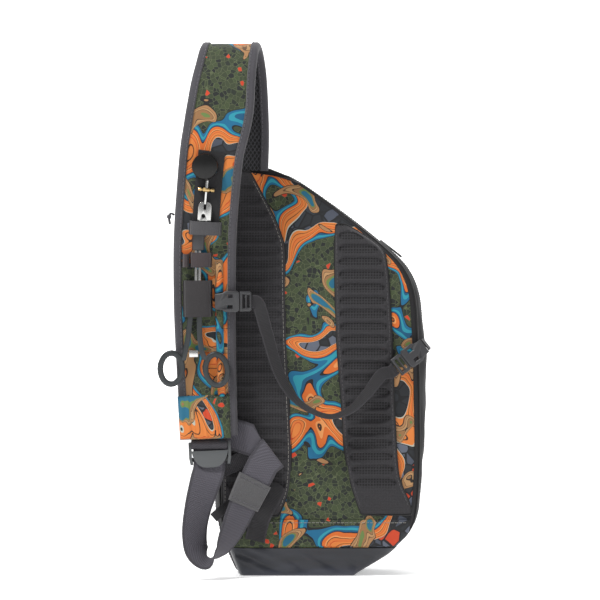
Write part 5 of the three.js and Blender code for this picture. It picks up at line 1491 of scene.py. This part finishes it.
rim_x = []
for t in mouth_turns:
    z = MOUTH_Z + RIM_RADIUS * math.sin(t)
    found = side_point(MOUTH_Y + RIM_RADIUS * math.cos(t), max(z, LOWEST_RAY), -1)
    rim_x.append(found if found else rim_x[-1])
rim_x[-1] = rim_x[0]
rim_x = smoothed(rim_x, 1)
tube_rows = [mouth_ring(SLEEVE_RADIUS, rim_x + (SLEEVE_END - rim_x) * share)
             for share in np.linspace(0.004, 0.95, 16)]
for angle in np.linspace(0, math.pi / 2, 5)[1:]:
    depth = SLEEVE_END - SLEEVE_DOME * (1 - math.sin(angle))
    tube_rows.append(mouth_ring(SLEEVE_RADIUS - SLEEVE_ROUND * (1 - math.cos(angle)),
                                np.full(MOUTH_COLUMNS, depth)))
for share in (0.6, 0.3, 0.02):
    tube_rows.append(mouth_ring((SLEEVE_RADIUS - SLEEVE_ROUND) * share, np.full(MOUTH_COLUMNS, SLEEVE_END)))
piece = lay_grid("pocket_lining", np.array(tube_rows), print_cloth, (0, 0, -1), 0.001)
dress(piece, "printed_cloth", "bottle_sleeve")

BINDING_RING = [
    # radius, how far out of the wall
    (0.0420, 0.0080), (0.0421, -0.0008), (0.0428, -0.0018), (0.0445, -0.0022), (0.0470, -0.0020),
    (0.0477, -0.0012), (0.0478, -0.0002), (0.0470, 0.0004), (0.0440, 0.0004), (0.0428, 0.0060),
]
MOUTH_SEAM = 0.0466
MOUTH_SEAM_LIFT = 0.0021

binding_rows = [mouth_ring(radius, rim_x + lift) for radius, lift in BINDING_RING]
binding_rows.append(binding_rows[0])
lay_round("mouth_binding", np.array(binding_rows), binding_tape, (-1, 0, 0), "binding_tape", "pocket_binding")
line = np.array(mouth_ring(MOUTH_SEAM, rim_x - MOUTH_SEAM_LIFT))
stitches("mouth_stitches", line, (-1, 0, 0), grey_thread, "binding_tape")

# %% [markdown]
# ## Piping and zipper
# A dark piping rounds the seam between the back and the gusset, and a coil zipper
# lies in the strip between the gusset and the front.

# %% Seam piping and zipper coil
PIPING = 0.0014
PIPING_OUT = 0.0002
PIPING_NEAR = 0.0004
COIL = 0.0013
COIL_PITCH = 0.0032
COIL_START = 45
COIL_OUT = 0.0004
COIL_SWELL = 0.28
for word, points, side in (("right", gusset_right, 1), ("left", gusset_left, -1)):
    line = points[2:-1:3, 0] + np.array((side * PIPING_OUT, -PIPING_NEAR, 0))
    tube(f"seam_piping_{word}", line, PIPING, piping_and_gap_shadow, "gusset_cloth")
for word, points, side in (("right", zip_right, 1), ("left", zip_left, -1)):
    line = points[COIL_START:-3, points.shape[1] // 2] + np.array((side * COIL_OUT, 0, 0))
    line, far = along_route(line, COIL_PITCH / 4)
    swell = COIL * (1 - COIL_SWELL + COIL_SWELL * np.sin(far * 2 * math.pi / COIL_PITCH))
    tube(f"zipper_coil_{word}", line, swell, grey_plastic, "gusset_cloth", 6)

# %% [markdown]
# ## The edge of the back
# The printed back is framed by a folded dark tape. It takes the outermost columns of
# the back's own grid, a little proud of it, so that it follows every fold of the cloth.

# %% Edge of the back
EDGE_COLUMNS = 3
EDGE_LIFT = 0.0008
for side, columns in (("right", slice(-EDGE_COLUMNS, None)), ("left", slice(0, EDGE_COLUMNS))):
    edge = back_soft[:, columns] + np.array((0, -EDGE_LIFT, 0))
    piece = lay_grid(f"edge_tape_{side}", edge, gusset_cloth, (0, -1, 0), EDGE_LIFT * 2)
    dress(piece, "gusset_cloth")

# %% [markdown]
# ## Softened copies
# The small parts keep their solids' shape. A copy of a cloth part has its sharp edges
# held by a crease and is subdivided, so that its bends get smooth. A copy of a hard
# part only gets rounder edges. Some faces of the tools are polished.

# %% Softened copies
CREASE = math.radians(50)
ROUND_ABOVE = math.radians(35)


def softened(node, name, material, slot, level, bevel, segments):
    """A copy of a solid with rounder edges, which then stands for it."""
    piece = nodes[node].copy()
    piece.data = nodes[node].data.copy()
    bpy.context.collection.objects.link(piece)
    piece.parent = None
    piece.matrix_world = nodes[node].matrix_world
    piece.name = name
    act_on(piece)
    bpy.ops.object.transform_apply(location=True, rotation=True, scale=True)
    weld(piece, 2e-6)
    edit_all(piece, (bpy.ops.mesh.tris_convert_to_quads, {}))
    if level:
        edit_all(piece, (bpy.ops.mesh.select_all, {"action": "DESELECT"}),
                 (bpy.ops.mesh.select_mode, {"type": "EDGE"}),
                 (bpy.ops.mesh.edges_select_sharp, {"sharpness": CREASE}),
                 (bpy.ops.transform.edge_crease, {"value": 1}),
                 (bpy.ops.mesh.select_mode, {"type": "VERT"}))
        apply_modifier(piece, "SUBSURF", levels=level, render_levels=level)
    apply_modifier(piece, "BEVEL", width=bevel, segments=segments, limit_method="ANGLE",
                   angle_limit=ROUND_ABOVE)
    finish_mesh(piece, material)
    return dress(piece, slot, node)


SOFT_COPIES = [
    ("lower_back_band", print_cloth, "printed_cloth"), ("tool_dock_panel", gusset_cloth, "gusset_cloth"),
    ("dock_keeper_band", dock_elastic, "elastic_tape"), ("elastic_loop_left", loop_elastic, "elastic_tape"),
    ("elastic_loop_right", loop_elastic, "elastic_tape"), ("tool_sleeve", sleeve_cloth, "pad_cloth"),
    ("slider_rail", print_rail, "printed_cloth"),
    ("strap_zip_pull", binding_tape, "binding_tape"), ("side_anchor_loop", narrow_tape, "webbing_tape"),
]
HARD_COPIES = [
    ("retractor_reel", black_plastic, "black_plastic"), ("reel_clip", brass_clip, "brass_clip"),
    ("nippers", polished_steel, "polished_steel"), ("forceps_left_half", coated_steel, "coated_steel"),
    ("forceps_right_half", coated_steel, "coated_steel"),
    ("forceps_ratchet", polished_steel, "polished_steel"),
    ("forceps_tip_cover", grey_plastic, "grey_plastic"), ("ladder_lock", lock_plastic, "grey_plastic"),
    ("rail_buckle", grey_plastic, "grey_plastic"), ("rail_adjuster", grey_plastic, "grey_plastic"),
    ("side_adjuster", grey_plastic, "grey_plastic"), ("side_buckle", grey_plastic, "grey_plastic"),
    ("zip_slider", grey_plastic, "grey_plastic"),
]
for node, material, slot in SOFT_COPIES:
    softened(node, node + "_cloth", material, slot, level=2, bevel=0.0004, segments=2)
for node, material, slot in HARD_COPIES:
    softened(node, node + "_part", material, slot, level=0, bevel=0.0005, segments=3)

JAWS_ABOVE = 0.349
BEAD_Z = 0.4635
BEAD_REACH = 0.0034


def polish(name, is_bright):
    """Gives polished steel to the faces of a piece whose height passes the test."""
    mesh = bpy.data.objects[name].data
    mesh.materials.append(polished_steel)
    for face in mesh.polygons:
        if is_bright(face.center.z):
            face.material_index = 1


polish("forceps_left_half_part", lambda z: z > JAWS_ABOVE)
polish("forceps_right_half_part", lambda z: z > JAWS_ABOVE)
polish("reel_clip_part", lambda z: abs(z - BEAD_Z) > BEAD_REACH)

# %% [markdown]
# ## The reel's dome
# The reel's face bulges like a watch glass. Three rays find how its solid's face
# leans, and rings round that direction rise to the middle.

# %% The reel's dome
DOME_RADIUS = 0.0146
DOME_RISE = 0.0022
DOME_PROBE = 0.008
DOME_SEAT = 0.0002

reel_tree = tree_of(["retractor_reel"])
reel_low, reel_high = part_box("retractor_reel")
reel_x = (reel_low[0] + reel_high[0]) / 2
reel_z = (reel_low[2] + reel_high[2]) / 2
face_spots = [reel_tree.ray_cast(Vector((reel_x, -FAR, reel_z + step)), Vector((0, 1, 0)))[0]
              for step in (-DOME_PROBE, 0, DOME_PROBE)]
side = np.array((1.0, 0, 0))
rise = np.array((face_spots[2] - face_spots[0]).normalized())
outwards = np.cross(side, rise)
outwards *= -np.sign(outwards[1])
dome_rows = []
for share in np.linspace(1, 0.02, 9):
    lift = DOME_RISE * (1 - share ** 2) - DOME_SEAT
    reach = DOME_RADIUS * share
    dome_rows.append([np.array(face_spots[1]) + (side * math.cos(t) + rise * math.sin(t)) * reach
                      + outwards * lift for t in np.linspace(0, 2 * math.pi, 41)])
piece = lay_grid("reel_dome", np.array(dome_rows), black_plastic, outwards)
dress(piece, "black_plastic")

# %% [markdown]
# ## The lower band's seam
# One row of stitches holds the printed band above the base. Rays lay it on the
# band's own solid, just under the band's upper edge.

# %% Band seam stitches
BAND_INSET = 0.004
BAND_SEAM_DROP = 0.0035
BAND_SEAM_LIFT = 0.0002
band_tree = tree_of(["lower_back_band"])
band_low, band_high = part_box("lower_back_band")
seam_route = []
for x in np.linspace(band_low[0] + BAND_INSET, band_high[0] - BAND_INSET, 90):
    hit = band_tree.ray_cast(Vector((x, -FAR, band_high[2] - BAND_SEAM_DROP)), Vector((0, 1, 0)))[0]
    if hit:
        seam_route.append(np.array(hit) + (0, -BAND_SEAM_LIFT, 0))
stitches("band_stitches", np.array(seam_route), (0, -1, 0), stitch_thread, "printed_cloth",
         thread=FINE_THREAD)

# %% [markdown]
# ## The end
# The view layer is brought up to date once more.

# %% The end
bpy.context.view_layer.update()
